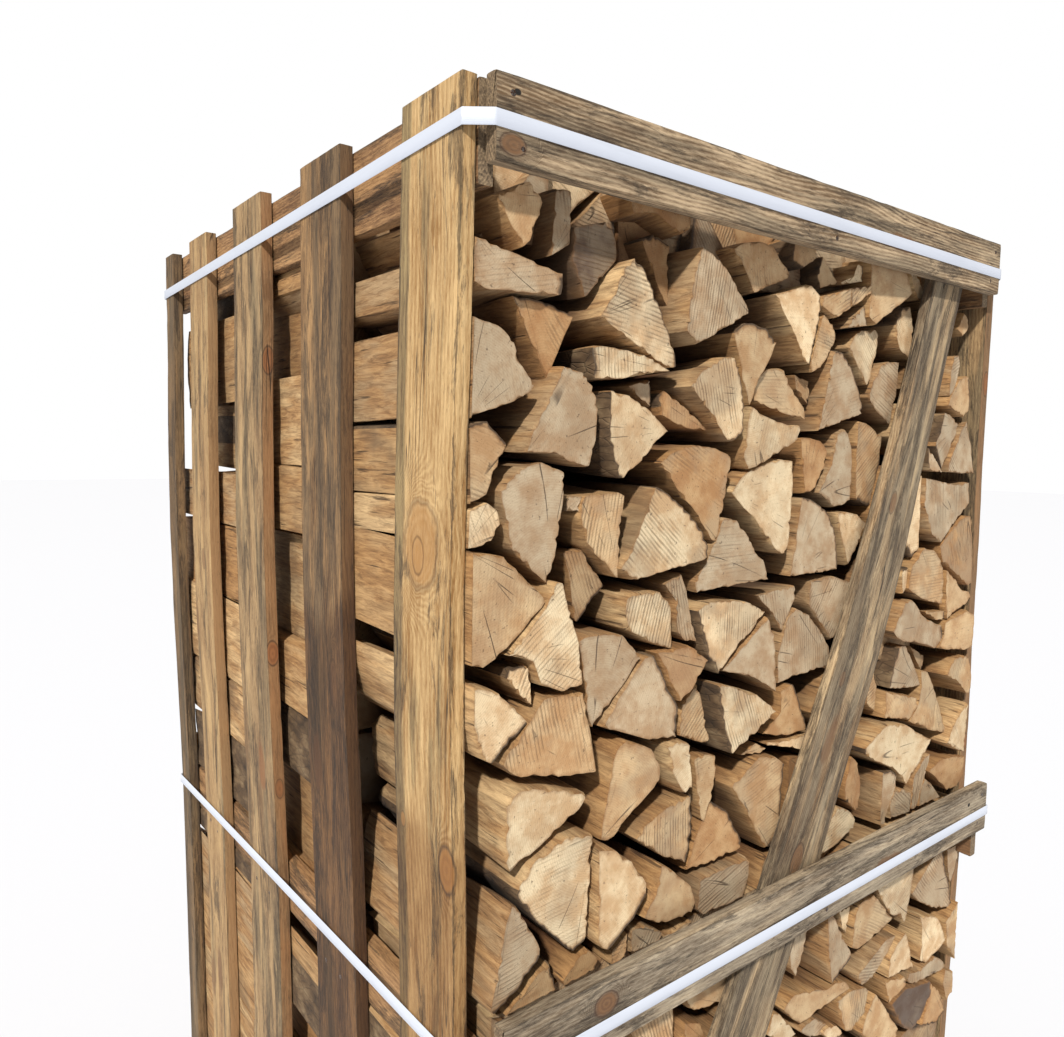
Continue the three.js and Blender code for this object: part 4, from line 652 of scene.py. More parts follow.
def add_node(tree: bpy.types.NodeTree, node: Node, *values: Value,
             stops: tuple[tuple[float, str], ...] = ()) -> Socket | None:
    """Adds a node with its settings and links.

    Args:
        tree: the node tree.
        node: which node.
        values: its inputs in order, each a value, a hex colour or the socket that is linked to it.
        stops: places and hex colours of a colour ramp.

    Returns:
        The output socket, if the node has one.
    """
    kind, usual, out, settings = node.value
    made = tree.nodes.new("ShaderNode" + kind)
    for key, value in settings.items():
        setattr(made, key, value)
    for key, value in (usual | dict(zip(usual, values))).items():
        if isinstance(value, Socket):
            tree.links.new(value, made.inputs[key])
        else:
            made.inputs[key].default_value = linear(value) if isinstance(value, str) else value
    for k, (place, colour) in enumerate(stops):
        ramp = made.color_ramp.elements
        stop = ramp[k] if k < len(ramp) else ramp.new(place)
        stop.position, stop.color = place, linear(colour)
    return None if out is None else made.outputs[out]


class Finish:
    """A material in the making; calling it adds a node and gives back its output."""

    def __init__(self, name: str) -> None:
        """Starts an empty material with that name."""
        self.material = bpy.data.materials.new(name)
        self.material.use_nodes = True
        self.tree = self.material.node_tree
        self.tree.nodes.clear()
        self.place = self(Node.PLACE)

    def __call__(self, node: Node, *values: Value,
                 stops: tuple[tuple[float, str], ...] = ()) -> Socket | None:
        """Adds a node to this material; see add_node."""
        return add_node(self.tree, node, *values, stops=stops)

    def inner(self, colour: Value) -> Socket:
        """The colour of wood in the pile, browner and darker the deeper it lies: painted shade, partly the
        real lack of sun bleaching.

        Args:
            colour: the colour of bleached wood.

        Returns:
            The colour's socket.
        """
        # Painted shade: a browner, darker copy of the colour for wood deep in the pile, partly unbleached
        # wood.
        unbleached_and_shaded = self(Node.STAIN, colour, "#75573c")
        return self(Node.OVER, self(Node.BETWEEN, self(Node.PAINTED_LIGHT_AND_BLEACH), 0.08, 0.7), unbleached_and_shaded, colour)

    def finish(self, colour: Value, roughness: Value, height: Value, depth_mm: float,
               metallic: float = 0.0) -> Material:
        """Joins colour, roughness and relief to the shader.

        Args:
            colour: base colour.
            roughness: number or socket.
            height: relief from 0 to 1.
            depth_mm: how deep that relief is.
            metallic: 1 for bare metal.

        Returns:
            The finished material.
        """
        bump = self(Node.BUMP, height, depth_mm / 1000)
        self(Node.SHOWN, self(Node.SURFACE, colour, roughness, metallic, bump))
        return self.material


@dataclass(frozen=True)
class Detail:
    """How finely a log is made: points round it, rings along it, rings on its seen end."""

    around: int
    along: int
    end_rings: int


def doubled_area(ring: Array) -> float:
    """Twice the area of a closed outline (n, 2), positive if it runs counter-clockwise."""
    return np.sum(ring[:, 0] * np.roll(ring[:, 1], -1) - ring[:, 1] * np.roll(ring[:, 0], -1))


def running(ring: Array) -> Array:
    """Running length along a closed outline (n, 2), from 0 to its whole length: n + 1 numbers."""
    closed = np.vstack([ring, ring[:1]])
    return np.concatenate([[0], np.cumsum(np.hypot(*np.diff(closed, axis=0).T))])


@dataclass
class SplitLog:
    """A log split from a round and sawn to length: an outline in x, z carried along y.

    corners (n, 2) run round it; y0 and y1 are its two ends; seed sets its roughness;
    clear_of gives the smallest y that it may have at x, z; slant is the most that its sawn
    end leans, in mm per mm, and bark_share how many logs in all have bark.
    """

    corners: Array
    y0: float
    y1: float
    tone: Tone
    seed: float
    detail: Detail
    clear_of: Callable[[Array, Array], Array] | None = None
    slant: float = 0.06
    bark_share: float = 0.34

    def outline(self) -> Array:
        """The outline as evenly spaced points with softened corners, counter-clockwise."""
        ring = self.corners[::-1] if doubled_area(self.corners) < 0 else self.corners
        closed, reach = np.vstack([ring, ring[:1]]), running(ring)
        s = np.linspace(0, reach[-1], self.detail.around, endpoint=False)
        for corner in reach[1:-1]:
            s[np.argmin(np.abs(s - corner))] = corner
        points = np.stack([np.interp(s, reach, closed[:, k]) for k in (0, 1)], axis=-1)
        return 0.76 * points + 0.12 * (np.roll(points, 1, axis=0) + np.roll(points, -1, axis=0))

    def heart(self) -> Array:
        """The corner nearest the tree's middle: the one with the sharpest angle."""
        ring = self.corners.astype(float)
        back, on = np.roll(ring, 1, axis=0) - ring, np.roll(ring, -1, axis=0) - ring
        size = np.hypot(*back.T) * np.hypot(*on.T) + 1e-6
        turn = np.sum(back * on, axis=1) / size + 0.02 * np.log(size)
        return ring[np.argmax(turn)]

    def inset(self, ring: Array, t: Array) -> Array:
        """How far the wood lies inside the outline.

        It stands out 1 mm and is drawn in by two noises, one as wide as a fibre bundle and
        one as a split's waves; near an end it is drawn in further, as a torn rim. Behind its
        seen end the log swells by up to 3.5 mm, in waves of 90 mm.

        Args:
            ring: the outline (n, 2).
            t: how far along the log, (rows, 1), from 0 to 1.

        Returns:
            Depths in mm, (rows, n).
        """
        x, z = ring[:, 0][None, :], ring[:, 1][None, :]
        length, seed = self.y1 - self.y0, self.seed
        depth = t * length
        size = math.sqrt(abs(doubled_area(ring)) / 2)
        fibre = 0.5 + 0.5 * grain(x / 4.3 + z / 9.1, z / 4.3 - x / 9.1 + t * 2.2, seed)
        wave = 0.5 + 0.5 * grain(x / 24.0 + t * 3.1, z / 24.0 + t * 1.7, seed + 5)
        rim = np.exp(-t * length / 2.0) + 0.8 * np.exp(-(1 - t) * length / 3.0)
        torn = 0.5 + 4.4 * np.maximum(grain(x / 5.0, z / 5.0 + 0 * t, seed + 9), 0)
        swell = 3.5 * grain(depth / 90, 0 * depth, seed + 31) * (1 - np.exp(-depth / 50))
        return 0.9 * fibre + min(2.4, size / 26) * wave + rim * torn - 1.0 - swell

    def bow(self, depth: Array) -> Array:
        """How far the log's middle line wanders from its seen end on: up to 5.5 mm, in waves of 130 mm.

        Args:
            depth: (rows, 1) in mm behind the seen end.

        Returns:
            x and z, (rows, 1, 2).
        """
        reach = ((4.0, 1.0, 21), (5.5, 2.0, 22))
        lanes = [far * grain(depth / 130, lane + 0 * depth, self.seed + k) for far, lane, k in reach]
        bow = np.stack(lanes, axis=-1)
        return (bow - bow[:1]) * (1 - np.exp(-depth / 60))[..., None]

    def sides(self, ring: Array, out: Array, t: Array) -> Array:
        """Rings of points from the seen end to the far one.

        The sawn end is a plane that leans by up to `slant`.

        Args:
            ring: the outline (n, 2).
            out: its outward directions (n, 2).
            t: how far along the log, (rows, 1).

        Returns:
            (rows, n, 3) in mm.
        """
        spread = ring[None, :, :] - out[None, :, :] * self.inset(ring, t)[..., None]
        spread = spread + self.bow(t * (self.y1 - self.y0))
        lean = np.array([chance(self.seed, 3.0), chance(self.seed, 4.0)]) * 2 - 1
        tilt = (ring - ring.mean(axis=0)) @ lean * self.slant
        near = self.y0 + (tilt - tilt.min())[None, :]
        y = near + (self.y1 - near) * t
        if self.clear_of is not None:
            y = np.maximum(y, self.clear_of(spread[..., 0], spread[..., 1]))
        return np.stack([spread[..., 0], y, spread[..., 1]], axis=-1)

    def sawn_end(self, rim: Array) -> Array:
        """Rings inside the rim of the sawn end and its middle, a little uneven in depth.

        Args:
            rim: the first ring of the sides (n, 3).

        Returns:
            The points of end_rings - 1 rings, and the middle one last.
        """
        shrink = np.linspace(1, 0, self.detail.end_rings + 1)[1:-1] ** 0.85
        middle = rim.mean(axis=0)
        rings = middle + (rim - middle)[None] * shrink[:, None, None]
        uneven = grain(rings[..., 0] / 17, rings[..., 2] / 17, self.seed + 2)
        rings[..., 1] += 0.7 * (0.5 + 0.5 * uneven)
        return np.vstack([rings.reshape(-1, 3), middle[None]])

    def shade(self) -> Array:
        """The log's colour, a little lighter or darker and redder than its tone, and its luck."""
        light = 0.9 + 0.2 * chance(self.seed, 12.0)
        red = 1 + 0.05 * (chance(self.seed, 13.0) - 0.5)
        colour = np.array(linear(self.tone.value))[:3] * light * np.array([red, 1.0, 2 - red])
        return np.append(colour, chance(self.seed, 14.0))

    def shell(self) -> Shell:
        """The log's surface.

        Bark covers the sides that face away from the heart and lie far from it, on some logs.

        Returns:
            The closed shell with its sides, seen end and far end.
        """
        ring, heart, seed = self.outline(), self.heart(), self.seed
        n, length = len(ring), self.y1 - self.y0
        ahead = np.roll(ring, -1, axis=0) - np.roll(ring, 1, axis=0)
        out = np.stack([ahead[:, 1], -ahead[:, 0]], axis=-1) / (np.hypot(*ahead.T)[:, None] + 1e-9)
        stations = [[0, 1.6, 6], np.geomspace(18, length - 2, self.detail.along - 4), [length]]
        t = (np.concatenate(stations) / length)[:, None]
        sides = self.sides(ring, out, t)

        away = ring - heart
        far = np.hypot(*away.T) + 1e-6
        facing = np.sum(out * away, axis=1) / far
        barked = (facing > 0.8) & (far > 0.62 * far.max()) & (chance(seed, 8.0) < self.bark_share)

        faces, places = sleeve(len(t), n)
        along = t * length + 311 * chance(seed, 2.0)
        side_uv = grid_uv(running(ring)[None, :] + 997 * chance(seed, 1.0), along)[places]
        side_skin = np.where(barked[faces[:, 0] % n], Skin.BARK.value, Skin.SIDE.value)
        side_edge = np.exp(-t * length / 5.0) * np.where(barked, 1.0, 0.55)[None, :]

        front, start = self.sawn_end(sides[0]), len(t) * n
        near_end, far_end = fan(self.detail.end_rings, n), fan(1, n)
        near_end = np.where(near_end < n, near_end, near_end + start - n)
        far_end = np.where(far_end < n, far_end + start - n, start + len(front))[:, ::-1]
        ends = np.concatenate([near_end, far_end])
        points = np.concatenate([sides.reshape(-1, 3), front, sides[-1].mean(axis=0)[None]])
        angle = math.tau * chance(seed, 6.0)
        turn = np.array([[math.cos(angle), -math.sin(angle)], [math.sin(angle), math.cos(angle)]])
        end_uv = ((points[:, [0, 2]] - heart) @ turn.T)[ends] / 1000
        every = np.concatenate([faces, ends])
        return Shell(
            points=points,
            faces=every,
            uv=np.concatenate([side_uv, end_uv]),
            skin=np.concatenate([side_skin, np.full(len(ends), Skin.END.value)]),
            edge=np.concatenate([side_edge.ravel(), np.zeros(len(front) + 1)]),
            tone=np.tile(self.shade(), (len(every), 1)),
        ).outward()


def side_limits(z: Array) -> tuple[Array, Array]:
    """Where the crate's inside begins and ends in x: slats, or side rails where they stand.

    Args:
        z: heights in mm.

    Returns:
        Lowest and highest x that a log may have.
    """
    low = left_face(z) + BOARD + GAP + CLEAR
    high = right_face(z) - RIGHT_SLAT - GAP - CLEAR
    for rail in SIDE_RAILS.values():
        inside = (z > rail.z_low - CLEAR) & (z < rail.z_low + rail.height + CLEAR)
        low = np.where(inside, np.maximum(low, rail.face(True) + BOARD + 0.5), low)
        high = np.where(inside, np.minimum(high, rail.face(False) - BOARD - 0.5), high)
    return low, high


def brace_bend(t: Array) -> tuple[Array, Array]:
    """How far the brace's middle bends to the right, and half its width.

    Args:
        t: how far up the brace, from 0 to 1.

    Returns:
        BEND sin(pi (t - FROM) / (1 - FROM)) from FROM on, and half of a width that
        runs evenly from foot to top.
    """
    up = np.clip((t - BRACE_BEND_FROM) / (1 - BRACE_BEND_FROM), 0, 1)
    return BRACE_BEND * np.sin(np.pi * up), (BRACE_WIDE[0] + (BRACE_WIDE[1] - BRACE_WIDE[0]) * t) / 2


def behind_brace(x: Array, z: Array) -> Array:
    """Where a front log may begin.

    Args:
        x, z: places in mm.

    Returns:
        Smallest y: behind the brace's back where the brace passes, else far in front.
    """
    reach = np.hypot(*(BRACE_TOP - BRACE_FOOT))
    along = (BRACE_TOP - BRACE_FOOT) / reach
    bend, half = brace_bend(((x - BRACE_FOOT[0]) * along[0] + (z - BRACE_FOOT[1]) * along[1]) / reach)
    off = np.abs((x - BRACE_FOOT[0]) * along[1] - (z - BRACE_FOOT[1]) * along[0] - bend)
    return np.where(off < half + BRACE_ROOM, racked(z) + BRACE_FACE, -500.0)


def placed(entry: Outline, seed: float, detail: Detail) -> SplitLog:
    """A read outline slid along the line of sight from EYE to the log's own end plane.

    Args:
        entry: how far its end stands out, its tone and its corners.
        seed: its roughness seed.
        detail: how finely it is made.

    Returns:
        The log, from its end plane back to the end of its row.
    """
    out, tone, flat = entry
    seen = np.array(flat, dtype=float).reshape(-1, 2)
    middle = racked(seen[:, 1].mean())
    y = middle - out
    corners = EYE[[0, 2]] + (seen - EYE[[0, 2]]) * ((y - EYE[1]) / -EYE[1])
    return SplitLog(corners, y, middle + LOG_LENGTH - 6, tone, seed, detail, clear_of=behind_brace)


@dataclass(frozen=True)
class Courses:
    """Logs laid by rule where the photo doesn't show them: a shaken lattice of quarters and halves.

    The area in x and z, its columns and rows, a seed, where its logs begin and end in y, how
    much further those beside the left wall reach back, and how far the lattice's inner
    corners are shaken, in cells.
    """

    x0: float
    x1: float
    z0: float
    z1: float
    columns: int
    rows: int
    seed: int
    y0: float = BRACE_FACE + 2
    y1: float = LOG_LENGTH - 8
    reach: float = 0.0
    shake: float = 0.42

    def spot(self, i: int, j: int) -> tuple[float, float]:
        """x, z of a lattice corner, shaken along each way in which it is an inner one."""
        shake_x = self.shake if 0 < i < self.columns else 0.0
        shake_z = self.shake if 0 < j < self.rows else 0.0
        across = i + shake_x * (float(chance(i + self.seed, j)) - 0.5)
        up = j + shake_z * (float(chance(i, j + self.seed)) - 0.5)
        x = self.x0 + (self.x1 - self.x0) * across / self.columns
        return x, self.z0 + (self.z1 - self.z0) * up / self.rows

    def cell(self, i: int, j: int) -> list[Array]:
        """The outlines in a cell: one four-sided log, or two with three sides."""
        a, b, c, d = (np.array(self.spot(i + k, j + m)) for k, m in ((0, 0), (1, 0), (1, 1), (0, 1)))
        kind = float(chance(i + 3 * self.seed, j + 5))
        if kind < 0.3:
            return [np.array([a, b, c]), np.array([a, c, d])]
        if kind < 0.6:
            return [np.array([a, b, d]), np.array([b, c, d])]
        return [np.array([a, b, c, d])]

    def logs(self, detail: Detail, front: bool) -> list[SplitLog]:
        """The area's logs.

        Args:
            detail: how finely they are made.
            front: whether they lie behind the front brace.

        Returns:
            One or two logs for each cell of the lattice.
        """
        clear_of = behind_brace if front else None
        return [
            self.log(shape, i, j, part, detail, clear_of)
            for i in range(self.columns)
            for j in range(self.rows)
            for part, shape in enumerate(self.cell(i, j))
        ]

    def log(self, shape: Array, i: int, j: int, part: int, detail: Detail,
            clear_of: Callable[[Array, Array], Array] | None) -> SplitLog:
        """One log of a cell, shortened by chance.

        Seven in ten of those at the area's left side stand back from it, by up to 52 mm; the
        ones that reach further back press closer to it instead.

        Args:
            shape: its outline.
            i, j: its cell.
            part: its number in the cell.
            detail: how finely it is made.
            clear_of: what it stays clear of.

        Returns:
            The log, moved with the leaning crate.
        """
        number = i * 37 + j * 3 + part
        seed = 40.0 + self.seed * 7 + number
        middle = shape.mean(axis=0)
        foot, top = shape[:, 1].min(), shape[:, 1].max()
        free = any(foot > low and top < high for low, high in BACK_GAPS)
        out = self.reach if i == 0 and free else 0.0
        drawn = -BACK_PRESS if out else max(0.0, float(chance(seed, 31.0)) - 0.3) * 75
        away = shape - middle
        corners = middle + away * (1 + 0.8 / np.hypot(*away.T))[:, None]
        corners[:, 0] += drawn * (shape[:, 0] < self.x0 + 1.0)
        short, moved = float(chance(i * 2 + part, j + self.seed)), racked(middle[1])
        return SplitLog(
            corners=rounded(corners, number + self.seed),
            y0=moved + self.y0 + 26 * short,
            y1=moved + self.y1 + out - 20 * (1 - short),
            tone=(CREAM, GREY, TAN, TAN, ORANGE, GREY)[int(chance(seed, 21.0) * 6)],
            seed=seed,
            detail=detail,
            clear_of=clear_of,
        )


def rounded(corners: Array, seed: float) -> Array:
    """Corners with each side bent in or out a little at its middle, as split wood is.

    Args:
        corners: the outline (n, 2).
        seed: another number bends it in another way.

    Returns:
        The outline with its sides' middles, (2 n, 2).
    """
    on = np.roll(corners, -1, axis=0)
    along = on - corners
    out = np.stack([along[:, 1], -along[:, 0]], axis=-1)
    bend = 0.05 * (chance(np.arange(len(corners)), seed) - 0.75)[:, None]
    middle = (corners + on) / 2 + out * bend
    return np.stack([corners, middle], axis=1).reshape(-1, 2)


@dataclass(frozen=True)
class Knot:
    """A knot on a board's outer face: mm along and across it, its half sizes, a shade from 0 to 1."""

    along: float
    across: float
    half_long: float
    half_wide: float
    shade: float = 0.5


@dataclass
class Board:
    """A sawn board between rings of four corners: inner near, outer near, outer far, inner far.

    seed sets its roughness, step the mm between its rings, wane how worn its edges are.
    """

    rings: Array
    seed: float
    wane: float = 1.0
    step: float = 12.0

    def size(self) -> Point:
        """Width, thickness and length in mm."""
        first = self.rings[0]
        centres = self.rings.mean(axis=1)
        length = float(np.sum(np.linalg.norm(np.diff(centres, axis=0), axis=1)))
        return float(np.linalg.norm(first[2] - first[1])), float(np.linalg.norm(first[1] - first[0])), length

    def side(self, length: float) -> Array:
        """Places along one side of the section, close together at its ends."""
        inner = np.linspace(0, length, max(3, round(length / 9)) + 1)[1:-1]
        ends = np.array([0, 1.1, 3.0])
        inner = inner[(inner > 4.5) & (inner < length - 4.5)]
        return np.concatenate([ends, inner, length - ends[:0:-1]])

    def section(self, width: float, thick: float) -> tuple[Array, Array, Array]:
        """Points round the board's section, close together at its four corners.

        Args:
            width, thick: size of the section in mm.

        Returns:
            Across a and depth b of each point, and the running length v with one place more
            to close the ring, 0 where the outer face begins.
        """
        across, depth = self.side(width), self.side(thick)
        a = np.concatenate([0 * depth, across, 0 * depth + width, width - across])
        b = np.concatenate([thick - depth, 0 * across, depth, 0 * across + thick])
        round_it = (depth - thick, across, width + depth, width + thick + across, [2 * width + thick])
        return a, b, np.concatenate(round_it)

    def drawn(self, u: Array, a: Array, b: Array, width: float, thick: float) -> Array:
        """How far each point of the surface is drawn in.

        A shallow noise is long with the grain and short across it; each arris is rounded by
        about 1 mm, and chipped where a noise along it is high.

        Args:
            u: (rows, 1) along the board.
            a, b: (n,) across and depth in the section.
            width, thick: size of the section in mm.

        Returns:
            (rows, n) in mm.
        """
        which = np.where(a < width / 2, 1.0, 2.0) + np.where(b < thick / 2, 0.0, 7.0)
        rough = 0.15 + 0.45 * (0.5 + 0.5 * grain(u / 70, (a + b)[None, :] / 7.0, self.seed))
        chip = np.maximum(0, grain(u / 31, which[None, :] * 3.7, self.seed + 3) - 0.2) * 2.6 * self.wane
        corner = self.from_corner(a, b, width, thick)
        return rough + (0.8 * self.wane + chip) * np.exp(-corner / 2.4)[None, :]

    def from_corner(self, a: Array, b: Array, width: float, thick: float) -> Array:
        """Distance in mm of points a, b round the section from its nearest corner."""
        on_side = (a == 0) | (a == width)
        return np.where(on_side, np.minimum(b, thick - b), np.minimum(a, width - a))

    def shell(self, tone: Array) -> Shell:
        """The board's surface.

        Args:
            tone: colour and luck of the whole board.

        Returns:
            The closed shell with both sawn ends.
        """
        width, thick, length = self.size()
        a, b, v = self.section(width, thick)
        n, count = len(a), max(2, round(length / self.step)) + 1
        place = np.linspace(0, len(self.rings) - 1, count)
        low = np.minimum(place.astype(int), len(self.rings) - 2)
        part = (place - low)[:, None, None]
        rings = self.rings[low] * (1 - part) + self.rings[low + 1] * part
        u = np.linspace(0, length, count)[:, None]
        drawn = self.drawn(u, a, b, width, thick)
        on_a, on_b = (a == 0) | (a == width), (b == 0) | (b == thick)
        a_in = a[None, :] + np.where(on_a, np.where(a < width / 2, drawn, -drawn), 0)
        b_in = b[None, :] + np.where(on_b, np.where(b < thick / 2, drawn, -drawn), 0)
        p, q = (a_in / width)[..., None], np.clip(b_in / thick, 0, 1)[..., None]
        outer = (1 - p) * rings[:, None, 1] + p * rings[:, None, 2]
        inner = p * rings[:, None, 3] + (1 - p) * rings[:, None, 0]
        points = (1 - q) * outer + q * inner

        faces, places = sleeve(count, n)
        disc, start = fan(1, n), count * n
        near_end = np.where(disc < n, disc, start)
        far_end = np.where(disc < n, disc + start - n, start + 1)[:, ::-1]
        ends = np.concatenate([near_end, far_end])
        section = np.stack([np.tile(a, count), np.tile(b, count)], axis=-1)
        flat = np.vstack([section, [[width / 2, thick / 2]] * 2]) / 1000
        every = np.concatenate([faces, ends])
        from_corner = self.from_corner(a, b, width, thick)
        return Shell(
            points=np.vstack([points.reshape(-1, 3), points[0].mean(axis=0), points[-1].mean(axis=0)]),
            faces=every,
            uv=np.concatenate([grid_uv(u, v[None, :])[places], flat[ends]]),
            skin=np.repeat([Skin.SIDE.value, Skin.END.value], [len(faces), len(ends)]),
            edge=np.concatenate([np.tile(np.exp(-from_corner / 3.5), count), [0.0, 0.0]]),
            tone=np.tile(tone, (len(every), 1)),
        ).outward()


def corner_rings(*corners: tuple[Array | float, Array | float, Array | float]) -> Array:
    """Rings of a board from its four corners.

    Args:
        corners: x, y and z of inner near, outer near, outer far and inner far, each a number
            or an array along the board.

    Returns:
        (rings, 4, 3).
    """
    return np.stack([np.stack(np.broadcast_arrays(*corner), axis=-1) for corner in corners], axis=1)


def slat_rings(face: Callable[[Array], Array], inward: float, thick: float, slat: Slat, seed: int) -> Array:
    """Rings of an upright slat of a side wall, as in the solids.

    Args:
        face: the wall's outer face as a function of z.
        inward: the side its back is on, 1 or -1.
        thick: its thickness.
        slat: its edges, lean and top.
        seed: its edges' unevenness.

    Returns:
        Thirteen rings of four corners, foot first.
    """
    s = np.arange(13)
    z = SLAT_FOOT + (slat.top - SLAT_FOOT) * s / 12
    moved = slat.lean * (z - TOP)
    near = slat.near + moved + 2 * (chance(seed, s) - 0.5)
    far = slat.far + moved + 3 * (chance(seed + 7, s) - 0.5)
    outer = face(z)
    inner = outer + inward * thick
    return corner_rings((inner, near, z), (outer, near, z), (outer, far, z), (inner, far, z))


def cross_rail_rings(rail: CrossRail, outer: float, inner: float) -> Array:
    """Rings of a level rail of the front or back.

    Args:
        rail: its ends, height and rise.
        outer, inner: y of its faces.

    Returns:
        Six rings, its left end first and its top edge as the near one.
    """
    s = np.arange(6)
    x = rail.x0 + (rail.x1 - rail.x0) * s / 5
    z = rail.z_low + rail.rise * s / 5 + 1.5 * (chance(s, rail.z_low) - 0.5)
    high = z + RAIL_HEIGHT
    return corner_rings((x, inner, high), (x, outer, high), (x, outer, z), (x, inner, z))


def side_rail_rings(outer: float, inner: float, rail: SideRail) -> Array:
    """Rings of a rail inside a side wall.

    Args:
        outer, inner: x of its faces.
        rail: its lower edge and height.

    Returns:
        Three rings, its front end first.
    """
    low, high = rail.z_low, rail.z_low + rail.height
    front, back = racked(high) + GAP + 0.7, DEPTH + racked(low) - GAP - 0.7
    y = np.array([front, (front + back) / 2, back])
    return corner_rings((inner, y, high), (outer, y, high), (outer, y, low), (inner, y, low))


def brace_rings(y_face: float, inward: float, mirrored: bool) -> Array:
    """Rings of a brace from its foot up, its left edge as the near one, with waney edges.

    Args:
        y_face: the plane that it is nailed against at the top.
        inward: 1 at the front, -1 at the back.
        mirrored: whether it runs the other way.

    Returns:
        Thirteen rings of four corners.
    """
    along = BRACE_TOP - BRACE_FOOT
    across = np.array([along[1], -along[0]]) / np.hypot(*along)
    s = np.arange(13)
    middle, (bend, half) = BRACE_FOOT + along * (s / 12)[:, None], brace_bend(s / 12)
    left = bend - half + 8 * (chance(31, s) - 0.5)
    right = bend + half + 8 * (chance(47, s) - 0.5)

    def spot(side: Array, depth: float) -> tuple[Array, Array, Array]:
        """One corner of every ring, `side` across the brace and `depth` from its face."""
        x, z = (middle + across * side[:, None]).T
        return WIDTH - x if mirrored else x, y_face + racked(z) + inward * depth, z

    return corner_rings(spot(left, BOARD), spot(left, GAP), spot(right, GAP), spot(right, BOARD))


def block_rings(low: Point, high: Point) -> Array:
    """Rings of a level timber along its longer level way.

    Args:
        low, high: its two opposite corners in mm.

    Returns:
        Three rings, its upper face as the outer one.
    """
    (x0, y0, z0), (x1, y1, z1) = low, high
    if x1 - x0 > y1 - y0:
        x = np.array([x0, (x0 + x1) / 2, x1])
        return corner_rings((x, y0, z0), (x, y0, z1), (x, y1, z1), (x, y1, z0))
    y = np.array([y0, (y0 + y1) / 2, y1])
    return corner_rings((x0, y, z0), (x0, y, z1), (x1, y, z1), (x1, y, z0))


@dataclass(frozen=True)
class Strap:
    """A flat band pulled tight round the crate, straight over each wall, with small bends at the corners.

    heights are at front left, front right, back right and back left; rail is the rail it crosses.
    """

    heights: tuple[float, float, float, float]
    rail: CrossRail

    def corners(self) -> Array:
        """Its eight bends, as the solid has them."""
        fl, fr, br, bl = self.heights
        rail, near, far = self.rail, SLATS[0], SLATS[-1]
        off, wall = GAP + 0.2, GAP + 1
        left, right = rail.x0 - 1.5, rail.x1 + 1.5
        front = racked(rail.z_low) - BOARD - GAP - off
        back = DEPTH + racked(rail.z_low + RAIL_HEIGHT + rail.rise) + BOARD + GAP + off

        def beside(x: float, slat: Slat, edge: float, z: float) -> list[float]:
            """A bend beside a side wall's slat, at its leaning edge."""
            return [x, edge + slat.lean * (z - TOP), z]

        return np.array([
            beside(left_face(fl) - wall, near, near.near - 2.2, fl),
            [left, front, fl],
            [right, front, fr],
            beside(right_face(fr) + wall, near, near.near - 2.2, fr),
            beside(right_face(br) + wall, far, far.far + 2.7, br),
            [right, back, br],
            [left, back, bl],
            beside(left_face(bl) - wall, far, far.far + 2.7, bl),
        ])

    def shell(self) -> Shell:
        """The band's surface: a flat section of eight points carried round the loop.

        Returns:
            A closed shell; its pattern runs along the band in metres.
        """
        bends = self.corners()
        closed = np.vstack([bends, bends[:1]])
        middle = np.array([WIDTH / 2, DEPTH / 2])
        path, outs, runs, run = [], [], [], 0.0
        for start, end in zip(closed[:-1], closed[1:]):
            length = float(np.linalg.norm(end - start))
            inner = np.linspace(2, length - 2, max(2, int(length / 25)))
            steps = np.concatenate([[0], inner])
            t = (steps / length)[:, None]
            path.append(start + (end - start) * t)
            outs.append(np.sign(start[:2] - middle) * (1 - t) + np.sign(end[:2] - middle) * t)
            runs.append(run + steps)
            run += length
        spine, away, along = np.concatenate(path), np.concatenate(outs), np.concatenate(runs)
        half = STRAP_WIDE / 2
        across = np.array([-half, -half + 0.5, 0, half - 0.5, half, half - 0.5, 0, -half + 0.5])
        depth = np.array([0.5, 1, 1, 1, 0.5, 0, 0, 0]) * STRAP_THICK
        around = np.array([0, 0.5, 7.7, 15, 15.5, 16, 23.5, 31, 31.5])
        n, rows = len(across), len(spine)
        flat = np.concatenate([away, np.zeros((rows, 1))], axis=1)
        upward = np.array([0, 0, 1.0]) * across[None, :, None]
        points = spine[:, None] + flat[:, None] * depth[None, :, None] + upward
        faces, places = sleeve(rows + 1, n)
        return Shell(
            points=points.reshape(-1, 3),
            faces=faces % (rows * n),
            uv=grid_uv(np.append(along, run)[:, None], around[None, :])[places],
            skin=np.zeros(len(faces), dtype=int),
            edge=np.zeros(rows * n),
            tone=np.ones((len(faces), 4)),
        ).outward()


